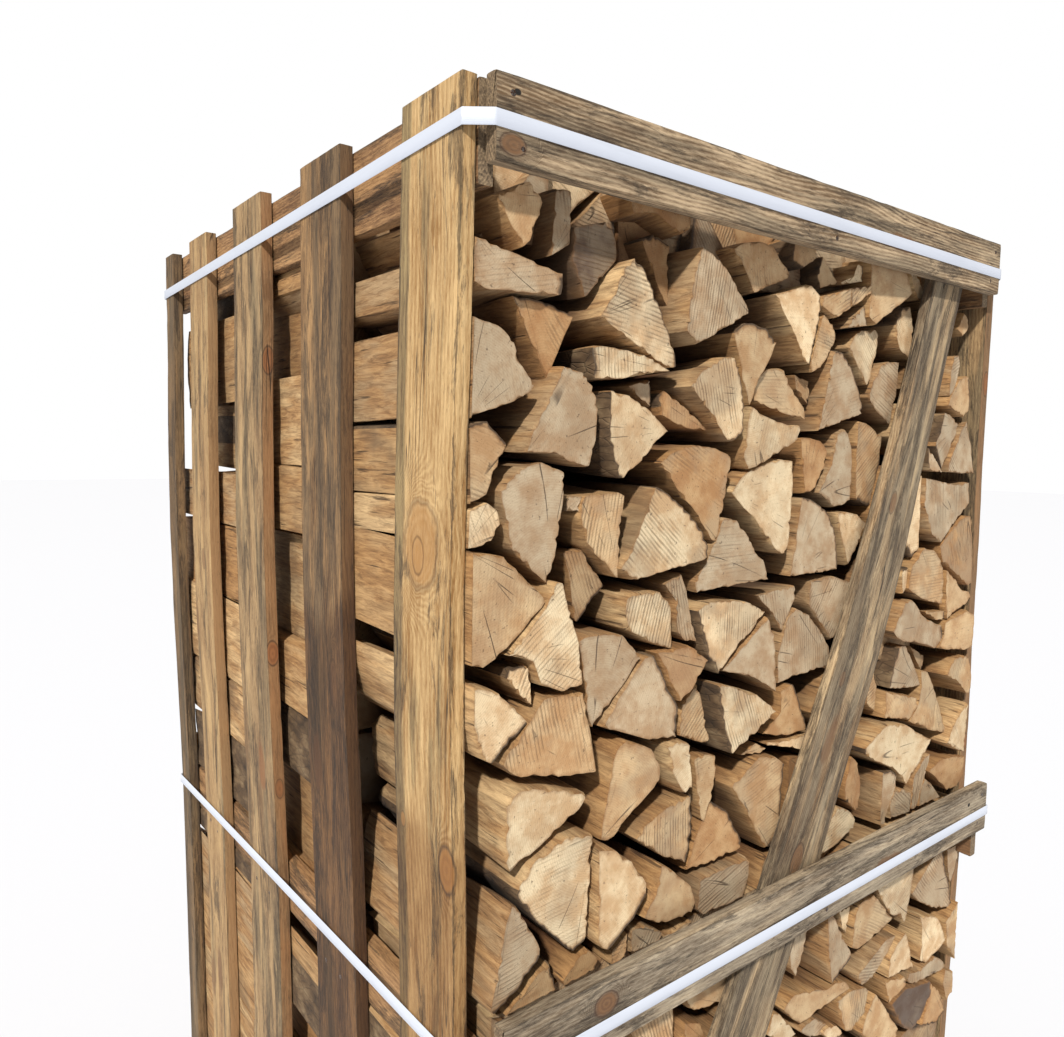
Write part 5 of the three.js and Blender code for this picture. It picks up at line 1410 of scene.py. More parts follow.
@dataclass
class Nails:
    """Round steel nail heads, a shallow dome each, let in level with the boards."""

    radius: float = 3.6
    around: int = 12
    spots: list[tuple[Array, Array]] = field(default_factory=list)

    def drive(self, point: Point, outward: Point) -> None:
        """Adds a head at a point in mm, facing outward."""
        self.spots.append((np.array(point, dtype=float), np.array(outward, dtype=float)))

    def shell(self) -> Shell:
        """All heads as one shell: three rings each, the widest 0.8 mm below the board's face.

        Returns:
            One shell of closed heads.
        """
        n = self.around
        ring = np.linspace(0, math.tau, n, endpoint=False)
        layers = ((0.96, -2.0), (1.0, -0.8), (0.86, -0.35))
        disc, last = fan(1, n), (len(layers) - 1) * n
        top = np.where(disc < n, disc + last, last + n)
        foot = np.where(disc < n, disc, last + n + 1)[:, ::-1]
        faces = np.concatenate([sleeve(len(layers), n)[0], top, foot])
        shells = []
        for k, (point, out) in enumerate(self.spots):
            side = np.cross(out, [0, 0, 1.0])
            up = np.cross(side, out)
            rim = np.cos(ring)[:, None] * side + np.sin(ring)[:, None] * up
            rows = [point + rim * self.radius * share + out * height for share, height in layers]
            points = np.vstack(rows + [point - out * 0.2, point - out * 2.0])
            shells.append(Shell(
                points=points,
                faces=faces,
                uv=(points @ np.stack([side, up], axis=-1))[faces] / 1000,
                skin=np.zeros(len(faces), dtype=int),
                edge=np.zeros(len(points)),
                tone=np.tile([0.3, 0.3, 0.3, float(chance(k, 5.0))], (len(faces), 1)),
            ).outward())
        return joined(shells)


@dataclass(frozen=True)
class SawnBeechEnd:
    """Beech cut across with a coarse circular saw and dried in the open.

    The eye sees beige wood with slanting saw ridges on some logs, fine dark pores, short
    drying cracks, grey weathered patches and a torn brownish rim. The saw grooves are painted
    darker, partly as the shade that lies in them. Growth rings are drawn at 2.6 mm and saw
    ridges at 4.6 mm, about twice as coarse as real ones, so that they show.
    """

    ring_mm: float = 2.6
    saw_mm: float = 4.6
    warm: str = "#c39a6c"
    grey: str = "#9d8d75"
    ring: str = "#80603d"
    # painted shade, in part: the darker colour laid into the saw grooves
    groove: str = "#6a5138"
    pore: str = "#5a432c"
    spot: str = "#3f2f22"
    check: str = "#3a291b"
    torn: tuple[str, str] = ("#7d5833", "#33261b")

    def material(self) -> Material:
        """Reads the log's own cut-plane map and tone.

        Returns:
            The finished material.
        """
        f = Finish("beech_sawn_end")
        flat, tone, luck = f(Node.FLAT), f(Node.TONE), f(Node.LUCK)
        radius, v = f(Node.LENGTH, flat), f(Node.Y, flat)
        wobble = f(Node.TIMES, f(Node.NOISE, f.place, 60, 2), 9.0)
        rings = f(Node.SINE, f(Node.TIMES_PLUS, radius, math.tau / (self.ring_mm / 1000), wobble))
        sway = f(Node.TIMES, f(Node.NOISE, f.place, 30, 3), 6.0)
        tooth = f(Node.SINE, f(Node.TIMES_PLUS, v, math.tau / (self.saw_mm / 1000), sway))
        share = f(Node.BETWEEN, f(Node.NOISE, f.place, 16, 2), 0.38, 0.56, 0.1, 1.0)
        ridged = f(Node.TIMES, f(Node.BETWEEN, luck, 0.35, 0.75, 0.12, 1.0), share)
        streak = f(Node.NOISE, f(Node.STRETCH, flat, (9.0, 260.0, 1.0)), 1.0, 4, 0.68, 0.15)
        groove = f(Node.TIMES_PLUS, streak, 5.4, f(Node.TIMES, tooth, 0.8))
        groove = f(Node.TIMES, f(Node.BETWEEN, groove, 2.5, 3.9), ridged)
        pores = f(Node.NOISE, f.place, 650, 3, 0.7)

        patch = f(Node.BETWEEN, f(Node.NOISE, f.place, 30, 4, 0.62), 0.34, 0.66, 0.0, 0.6)
        colour = f(Node.OVER, patch, tone, f(Node.STAIN, tone, self.warm))
        patch = f(Node.BETWEEN, f(Node.NOISE, f.place, 11, 4, 0.6), 0.46, 0.6)
        fade = f(Node.TIMES, patch, f(Node.BETWEEN, luck, 0.1, 0.8, 0.1, 0.55))
        colour = f(Node.OVER, fade, colour, self.grey)
        colour = f(Node.OVER, f(Node.TIMES_PLUS, rings, 0.07, 0.08), colour, self.ring)
        # Saw grooves painted darker, partly as their shade.
        colour = f(Node.OVER, f(Node.TIMES, groove, 0.55), colour, self.groove)
        colour = f(Node.OVER, f(Node.BETWEEN, pores, 0.56, 0.72, 0.0, 0.45), colour, self.pore)
        spots = f(Node.BETWEEN, f(Node.NOISE, f.place, 210, 3, 0.62), 0.64, 0.71, 0.0, 0.6)
        colour = f(Node.OVER, spots, colour, self.spot)

        # Drying cracks run out from the tree's middle: a noise over angle, radius and luck
        angle = f(Node.ANGLE, f(Node.X, flat), v)
        polar = f(Node.VECTOR, angle, f(Node.TIMES, radius, 0.7), f(Node.TIMES, luck, 31.0))
        check = f(Node.ABSOLUTE, f(Node.SUBTRACT, f(Node.NOISE, polar, 3.4, 0), 0.56))
        some = f(Node.BETWEEN, f(Node.NOISE, f.place, 22, 1), 0.5, 0.62)
        check = f(Node.TIMES, f(Node.BETWEEN, check, 0.0, 0.009, 1.0, 0.0), some)
        colour = f(Node.OVER, f(Node.TIMES, check, 0.7), colour, self.check)
        torn = f(Node.TIMES_PLUS, f(Node.NOISE, f.place, 120, 3), 0.5, f(Node.RIM))
        colour = f(Node.OVER, f(Node.BETWEEN, torn, 0.5, 0.85, 0.0, 0.5), colour, self.torn[0])
        colour = f(Node.OVER, f(Node.BETWEEN, torn, 0.82, 1.15, 0.0, 0.85), colour, self.torn[1])
        height = f(Node.TIMES_PLUS, groove, -0.7, f(Node.TIMES, pores, -0.45))
        height = f(Node.SUBTRACT, height, f(Node.TIMES, check, 1.4))
        # f.inner paints shade into the sawn ends by their depth in the pile.
        return f.finish(f.inner(colour), roughness=0.86, height=height, depth_mm=0.9)


@dataclass(frozen=True)
class SplitBeechSide:
    """Beech torn open along its fibres.

    The eye sees brown-orange to tan wood in long fibre bundles, rough to the hand, grey on
    some logs, with dark gaps between bundles. Fibres run along the log's length, which is Y.
    Every side face is also painted darker and warmer, as painted shade.
    """

    bundle_mm: float = 5.0
    fibres: tuple[str, ...] = ("#5c432a", "#8f6c46", "#b18d60", "#cfb081")
    dark: str = "#6f5436"
    grey: str = "#6f5f4e"
    gap: str = "#2e1d10"
    rim: str = "#7d5530"
    # painted shade: darkens and warms every side face, as the shade the logs' sides lie in
    painted_side_shade: str = "#f3e5d0"

    def material(self) -> Material:
        """Reads the log's tone, and the painted light by depth in the pile.

        Returns:
            The finished material.
        """
        f = Finish("beech_split_side")
        long = f(Node.STRETCH, f.place, (1.0, 0.1, 1.0))
        bundles = f(Node.NOISE, long, 1000 / self.bundle_mm, 7, 0.76, 0.7)
        broad = f(Node.NOISE, f(Node.STRETCH, f.place, (1.0, 0.25, 1.0)), 40, 3)
        warm = f(Node.RAMP, bundles, stops=tuple(zip((0.3, 0.45, 0.58, 0.75), self.fibres)))
        pale = f(Node.OVER, f(Node.BETWEEN, bundles, 0.3, 0.66, 0.75, 0.0), f(Node.TONE), self.dark)
        colour = f(Node.OVER, f(Node.BETWEEN, broad, 0.38, 0.62, 0.25, 0.9), warm, pale)
        patch = f(Node.BETWEEN, f(Node.NOISE, f.place, 9, 3), 0.47, 0.64)
        fade = f(Node.TIMES, patch, f(Node.BETWEEN, f(Node.LUCK), 0.3, 1.0, 0.05, 0.65))
        colour = f(Node.OVER, fade, colour, self.grey)
        gap = f(Node.NOISE, f(Node.STRETCH, f.place, (1.0, 0.05, 1.0)), 150, 3, 0.6)
        gap = f(Node.BETWEEN, gap, 0.62, 0.7, 0.0, 0.75)
        colour = f(Node.OVER, gap, colour, self.gap)
        colour = f(Node.OVER, f(Node.BETWEEN, f(Node.RIM), 0.2, 0.7, 0.0, 0.3), colour, self.rim)
        # Painted shade: the sides are darkened as a whole, then more the deeper they lie in the pile.
        colour = f.inner(f(Node.STAIN, colour, self.painted_side_shade))
        height = f(Node.TIMES_PLUS, bundles, 0.9, f(Node.TIMES, broad, 0.3))
        height = f(Node.SUBTRACT, height, f(Node.TIMES, gap, 0.5))
        return f.finish(colour, roughness=0.9, height=height, depth_mm=2.2)


@dataclass(frozen=True)
class BeechBark:
    """Thin dry beech bark: a smooth brown skin with pale patches and fine cross cracks."""

    crack_mm: float = 9.0
    patches: tuple[str, ...] = ("#35281b", "#5a4630", "#745f45", "#8f7d60")
    crack: str = "#221b16"

    def material(self) -> Material:
        """Cracks are the edges of long cells.

        Returns:
            The finished material.
        """
        f = Finish("beech_bark")
        patches = f(Node.NOISE, f(Node.STRETCH, f.place, (1.0, 0.5, 1.0)), 45, 4, 0.6)
        cracks = f(Node.CRACKS, f(Node.STRETCH, f.place, (1.0, 0.35, 1.0)), 1000 / self.crack_mm)
        gap = f(Node.BETWEEN, cracks, 0.0, 0.07, 1.0, 0.0)
        colour = f(Node.RAMP, patches, stops=tuple(zip((0.3, 0.5, 0.62, 0.75), self.patches)))
        # f.inner paints shade into the bark by its depth in the pile.
        colour = f.inner(f(Node.OVER, f(Node.TIMES, gap, 0.3), colour, self.crack))
        return f.finish(colour, roughness=0.9, height=f(Node.TIMES_PLUS, gap, -0.6, patches), depth_mm=1.0)


@dataclass(frozen=True)
class WeatheredBoard:
    """Softwood sawn rough and left out of doors.

    The eye sees long flame grain, silver-grey weathering, black mould in streaks and at the
    edges, brown knots with the grain flowing round them, and short drying cracks. Its map
    has metres along the board and across its faces. Below low_from the board is darker, from
    grey_far on across it is grey, and near_side is the colour of its near edge.
    """

    name: str
    pale: str
    deep: str
    grey: str
    grey_share: float
    mould_share: float
    edge_mould: float = 0.6
    ring_mm: float = 5.0
    knots: tuple[Knot, ...] = ()
    stray_knots: float = 0.3
    grey_far: float = 0.0
    low_from: float = 0.0
    low: str = ""
    flame: float = 0.05
    near_side: str = ""
    knot_pale: str = "#7f5c3d"
    knot_deep: str = "#4a3220"
    knot_rim: str = "#3d2416"
    # painted shade: the dark inside of a nail hole, drawn as a flat disk
    hole: str = "#15100b"
    grey_deep: str = "#4f4030"
    mould: str = "#30261c"
    speck: str = "#33291f"
    crack: str = "#211a14"

    def knotted(self, f: Finish, flat: Socket, own: Socket, line: Socket) -> tuple[Value, ...]:
        """The grain bent round the knots of this board.

        Args:
            f: the finish.
            flat: place on the board.
            own: the same place, moved by the board's luck.
            line: place across the grain.

        Returns:
            The bent line, then how far a place is in a knot, on its rim and in a nail hole, whose inside is
            painted dark as its shade.
        """
        inside, rim, hole = 0.0, 0.0, 0.0
        for knot in self.knots:
            step = f(Node.MOVE_BACK, flat, (knot.along / 1000, knot.across / 1000, 0.0))
            unit = f(Node.STRETCH, step, (1000 / knot.half_long, 1000 / knot.half_wide, 0.0))
            away = f(Node.SUBTRACT, f(Node.LENGTH, unit), 0.17)
            away = f(Node.TIMES_PLUS, f(Node.NOISE, own, 55, 2), 0.35, away)
            # A nail hole is a flat dark disk, painted as the shade inside it.
            if knot.half_long < HOLE_MM:
                hole = f(Node.MAXIMUM, hole, f(Node.BETWEEN, away, 0.8, 1.1, 1.0, 0.0))
                continue
            pull = f(Node.BETWEEN, away, 0.9, 2.3, 1.0, 0.0)
            line = f(Node.EITHER, pull, line, f(Node.TIMES, away, knot.half_wide / 1000))
            disc = f(Node.BETWEEN, away, 0.75, 1.08, 1.0, 0.0)
            inside = f(Node.MAXIMUM, inside, f(Node.TIMES, disc, knot.shade))
            edge = f(Node.ABSOLUTE, f(Node.SUBTRACT, away, 1.0))
            edge = f(Node.BETWEEN, edge, 0.0, 0.16, 1.0, 0.0)
            rim = f(Node.MAXIMUM, rim, f(Node.TIMES, edge, knot.shade))
        return line, inside, rim, hole

    def stray(self, f: Finish, own: Socket) -> Socket:
        """Small knots in a few cells of the board, as a share from 0 to 1.

        Args:
            f: the finish.
            own: place on the board, moved by its luck.

        Returns:
            The share's socket.
        """
        cells = f(Node.STRETCH, own, (3.1, 9.0, 1.0))
        middle, pick = f(Node.CELL_MIDDLE, cells), f(Node.X, f(Node.CELL_LUCK, cells))
        chosen = 0.0
        if self.stray_knots:
            chosen = f(Node.BETWEEN, pick, 1.0 - self.stray_knots, 1.02 - self.stray_knots)
        middle = f(Node.TIMES_PLUS, f(Node.NOISE, own, 60, 2), 0.1, f(Node.SUBTRACT, middle, 0.05))
        return f(Node.TIMES, f(Node.BETWEEN, middle, 0.08, 0.14, 1.0, 0.0), chosen)

    def greyed(self, f: Finish, across: Socket, weather: Socket, ragged: Socket) -> Socket:
        """How far the weather has greyed the board.

        Args:
            f: the finish.
            across: place across the faces.
            weather: a noise from 0 to 1.
            ragged: a small shift of an edge, in metres.

        Returns:
            The share's socket.
        """
        start = 0.68 - 0.4 * self.grey_share
        grey = f(Node.BETWEEN, weather, start, start + 0.16)
        if self.grey_far:
            edge, begin = f(Node.ADD, across, ragged), self.grey_far / 1000
            strip = f(Node.BETWEEN, edge, begin - 0.004, begin + 0.004)
            strip = f(Node.TIMES, strip, f(Node.BETWEEN, across, 0.125, 0.14, 1.0, 0.2))
            grey = f(Node.MAXIMUM, grey, strip)
        most = f(Node.BETWEEN, across, -0.002, 0.0, 0.3, 0.8) if self.near_side else 0.8
        return f(Node.TIMES, grey, most)

    def material(self) -> Material:
        """Layers wood, near edge, weathering, mould, specks, knots, the painted shade of nail holes, the
        darker foot and cracks.

        Returns:
            The finished material.
        """
        f = Finish(self.name)
        flat, luck = f(Node.FLAT), f(Node.LUCK)
        shift = f(Node.VECTOR, f(Node.TIMES, luck, 17.0), f(Node.TIMES, luck, 5.0), luck)
        own, across = f(Node.MOVE, flat, shift), f(Node.Y, flat)
        sway = f(Node.NOISE, f(Node.STRETCH, own, (1.6, 7.0, 1.0)), 1.0, 2)
        line = f(Node.TIMES_PLUS, sway, 0.04 + 0.25 * self.flame, across)
        line, inside, rim, hole = self.knotted(f, flat, own, line)
        warp = f(Node.TIMES, f(Node.NOISE, own, 20, 1), 2.5)
        band = f(Node.SINE, f(Node.TIMES_PLUS, line, math.tau / (self.ring_mm / 1000), warp))
        fibre = f(Node.NOISE, f(Node.STRETCH, own, (60.0, 620.0, 1.0)), 1.0, 5, 0.8, 0.5)
        broad = f(Node.NOISE, f(Node.STRETCH, own, (4.0, 24.0, 1.0)), 1.0, 9, 0.74, 0.5)
        mixed = f(Node.ADD, fibre, f(Node.TIMES_PLUS, broad, 1.4, -0.7))
        mixed = f(Node.TIMES_PLUS, band, self.flame, mixed)
        colour = f(Node.RAMP, mixed, stops=((0.28, self.deep), (0.72, self.pale)))
        if self.near_side:
            side = f(Node.BETWEEN, across, -0.002, 0.0, 0.8, 0.0)
            side = f(Node.TIMES, side, f(Node.BETWEEN, broad, 0.35, 0.6, 0.4, 1.0))
            colour = f(Node.OVER, side, colour, self.near_side)
        colour = f(Node.STAIN, colour, f(Node.TONE))
        weather = f(Node.NOISE, f(Node.STRETCH, own, (3.2, 34.0, 1.0)), 1.0, 5, 0.62)
        ragged = f(Node.TIMES_PLUS, weather, 0.05, -0.025)
        silver = f(Node.RAMP, mixed, stops=((0.28, self.grey_deep), (0.72, self.grey)))
        colour = f(Node.OVER, self.greyed(f, across, weather, ragged), colour, silver)

        soot = f(Node.NOISE, f(Node.STRETCH, own, (5.0, 34.0, 1.0)), 1.0, 9, 0.78, 0.9)
        edge = f(Node.BETWEEN, f(Node.RIM), 0.1, 1.0)
        soot = f(Node.TIMES_PLUS, edge, 0.13 * self.edge_mould, soot)
        start = 0.57 - 0.12 * self.mould_share
        mould = f(Node.BETWEEN, soot, start, start + 0.08)
        mould = f(Node.TIMES, mould, f(Node.BETWEEN, fibre, 0.35, 0.65, 0.85, 0.4))
        if self.near_side:
            mould = f(Node.TIMES, mould, f(Node.BETWEEN, across, -0.002, 0.0, 0.35, 1.0))
        colour = f(Node.OVER, mould, colour, self.mould)
        speck = f(Node.NOISE, f(Node.STRETCH, own, (60.0, 300.0, 1.0)), 1.0, 3, 0.6)
        speck = f(Node.BETWEEN, speck, 0.63, 0.7, 0.0, 0.7)
        speck = f(Node.TIMES, speck, f(Node.BETWEEN, soot, 0.4, 0.6, 0.15, 1.0))
        colour = f(Node.OVER, speck, colour, self.speck)

        band_share = f(Node.BETWEEN, band, -1, 1, 0.1, 0.45)
        brown = f(Node.OVER, band_share, self.knot_pale, self.knot_deep)
        knot = f(Node.MAXIMUM, inside, f(Node.TIMES, self.stray(f, own), 0.7))
        colour = f(Node.OVER, knot, colour, brown)
        colour = f(Node.OVER, f(Node.TIMES, rim, 0.7), colour, self.knot_rim)
        # Painted shade inside the nail holes.
        colour = f(Node.OVER, hole, colour, self.hole)
        if self.low:
            along, begin = f(Node.TIMES_PLUS, ragged, 4.0, f(Node.X, flat)), self.low_from / 1000
            foot = f(Node.BETWEEN, along, begin - 0.03, begin + 0.03, 1.0, 0.0)
            colour = f(Node.OVER, foot, colour, f(Node.STAIN, colour, self.low))
        split = f(Node.NOISE, f(Node.STRETCH, own, (2.0, 75.0, 1.0)), 1.0, 1)
        split = f(Node.ABSOLUTE, f(Node.SUBTRACT, split, 0.5))
        split = f(Node.BETWEEN, split, 0.0, 0.012, 1.0, 0.0)
        some = f(Node.NOISE, f(Node.STRETCH, own, (4.0, 16.0, 1.0)), 1.0, 1)
        split = f(Node.TIMES, split, f(Node.BETWEEN, some, 0.56, 0.64))
        colour = f(Node.OVER, f(Node.TIMES, split, 0.8), colour, self.crack)
        height = f(Node.TIMES_PLUS, band, self.flame, fibre)
        height = f(Node.SUBTRACT, height, f(Node.TIMES, split, 1.2))
        roughness = f(Node.BETWEEN, weather, 0.2, 0.8, 0.74, 0.92)
        return f.finish(colour, roughness, height, depth_mm=1.1)


@dataclass(frozen=True)
class SawnBoardEnd:
    """End of a sawn softwood board: weathered brown-grey, fine pores, dark growth lines."""

    ring_mm: float = 3.2
    pores: tuple[str, ...] = ("#4d4032", "#7d6a52", "#a08a6b")
    ring: str = "#3a2e23"

    def material(self) -> Material:
        """Growth lines are rings round a middle outside the board.

        Returns:
            The finished material.
        """
        f = Finish("sawn_board_end")
        radius = f(Node.LENGTH, f(Node.MOVE_BACK, f(Node.FLAT), (0.05, -0.04, 0.0)))
        wobble = f(Node.TIMES, f(Node.NOISE, f.place, 60, 2), 3.0)
        rings = f(Node.SINE, f(Node.TIMES_PLUS, radius, math.tau / (self.ring_mm / 1000), wobble))
        pores = f(Node.NOISE, f.place, 420, 3, 0.6)
        colour = f(Node.RAMP, pores, stops=tuple(zip((0.3, 0.5, 0.72), self.pores)))
        colour = f(Node.OVER, f(Node.TIMES_PLUS, rings, 0.14, 0.16), colour, self.ring)
        return f.finish(colour, roughness=0.9, height=f(Node.TIMES_PLUS, rings, 0.2, pores), depth_mm=0.5)


@dataclass(frozen=True)
class PlasticStrapping:
    """White polypropylene band, rolled and finely embossed: bright and a little glossy; its faint blue is
    painted sky shade.

    The emboss repeats every 2 mm and is drawn at 3 mm, so that it shows.
    """

    emboss_mm: float = 3.0
    # Both colours carry a faint blue: painted sky shade on white plastic.
    clean_with_painted_sky_blue: str = "#cad1df"
    dusty_with_painted_sky_blue: str = "#a9b1bf"

    def material(self) -> Material:
        """The emboss is a lattice of slanting waves.

        Returns:
            The finished material.
        """
        f = Finish("white_plastic_strapping")
        flat, wave = f(Node.FLAT), math.tau / (self.emboss_mm / 1000)
        scaled = f(Node.STRETCH, flat, (wave, wave, 0.0))
        u, v = f(Node.X, scaled), f(Node.Y, scaled)
        emboss = f(Node.TIMES, f(Node.SINE, f(Node.ADD, u, v)), f(Node.SINE, f(Node.SUBTRACT, u, v)))
        dust = f(Node.NOISE, f(Node.STRETCH, flat, (6.0, 60.0, 1.0)), 1.0, 3)
        share = f(Node.BETWEEN, dust, 0.45, 0.75, 0.0, 0.3)
        colour = f(Node.OVER, share, self.clean_with_painted_sky_blue, self.dusty_with_painted_sky_blue)
        return f.finish(colour, f(Node.BETWEEN, dust, 0.3, 0.8, 0.28, 0.42), emboss, depth_mm=0.05)


@dataclass(frozen=True)
class RustyNail:
    """Bright wire nail gone dull, with brown rust in patches."""

    steel: str = "#6f6a66"
    rust: str = "#4d2b19"

    def material(self) -> Material:
        """Rust is rough, bare steel smoother.

        Returns:
            The finished material.
        """
        f = Finish("rusty_nail_head")
        rust = f(Node.BETWEEN, f(Node.NOISE, f.place, 500, 3), 0.4, 0.62)
        colour = f(Node.OVER, rust, self.steel, self.rust)
        return f.finish(colour, f(Node.BETWEEN, rust, 0, 1, 0.45, 0.85), rust, depth_mm=0.1, metallic=1.0)


@dataclass
class FirewoodPile:
    """Three rows of split beech logs, lying front to back, packed to the walls."""

    fine: Detail = Detail(around=76, along=14, end_rings=8)
    seen: Detail = Detail(around=44, along=8, end_rings=4)
    seen_back: Detail = Detail(around=32, along=6, end_rings=3)
    hidden: Detail = Detail(around=26, along=6, end_rings=2)
    hidden_front: tuple[Courses, ...] = (
        Courses(36, 992, DECK_TOP + 3, 668, columns=7, rows=5, seed=11),
        Courses(24, 462, 675, 866, columns=4, rows=2, seed=23),
        Courses(24, 228, 870, 936, columns=2, rows=1, seed=5),
        Courses(416, 534, 872, 962, columns=1, rows=1, seed=8),
        Courses(468, 690, 675, 756, columns=2, rows=1, seed=9),
        Courses(44, 1004, 974, 1038, columns=9, rows=1, seed=14),
        Courses(44, 986, 1822, LOGS_TOP, columns=9, rows=1, seed=31, y0=48.0),
    )
    middle_row: Courses = Courses(
        24, 1004, DECK_TOP + 3, LOGS_TOP, columns=7, rows=16, seed=41,
        y0=ROW_PITCH, y1=ROW_PITCH + LOG_LENGTH)
    back_row: Courses = Courses(
        24, 1004, DECK_TOP + 3, LOGS_TOP, columns=7, rows=16, seed=67,
        y0=2 * ROW_PITCH, y1=DEPTH - BRACE_FACE - 4, reach=BACK_REACH)

    def walled(self, log: SplitLog) -> Shell:
        """A log's shell, flattened where it would pass the slats or the side rails."""
        shell = log.shell()
        low, high = side_limits(shell.points[:, 2])
        shell.points[:, 0] = np.clip(shell.points[:, 0], low, high)
        return shell

    def build(self, materials: list[Material]) -> None:
        """Makes the large logs one by one and each row's other logs as one piece.

        Args:
            materials: sawn end, split side, bark.
        """
        for k, entry in enumerate(LARGE_LOGS):
            log = placed(entry, 3.0 + k * 1.7, self.fine)
            make_piece(f"log_{k + 1}", self.walled(log), materials, [f"split_log_{k + 1}"])
        small = [placed(entry, 101.0 + k * 1.3, self.seen) for k, entry in enumerate(SMALL_LOGS)]
        rows = {
            "front": small + [log for area in self.hidden_front for log in area.logs(self.hidden, True)],
            "middle": self.middle_row.logs(self.hidden, False),
            "back": self.back_row.logs(self.seen_back, False),
        }
        for name, logs in rows.items():
            shell = joined([self.walled(log) for log in logs])
            make_piece(f"{name}_row_of_logs", shell, materials, [f"{name}_row_logs"])
            LOG.info("%s row: %d smaller logs", name, len(logs))


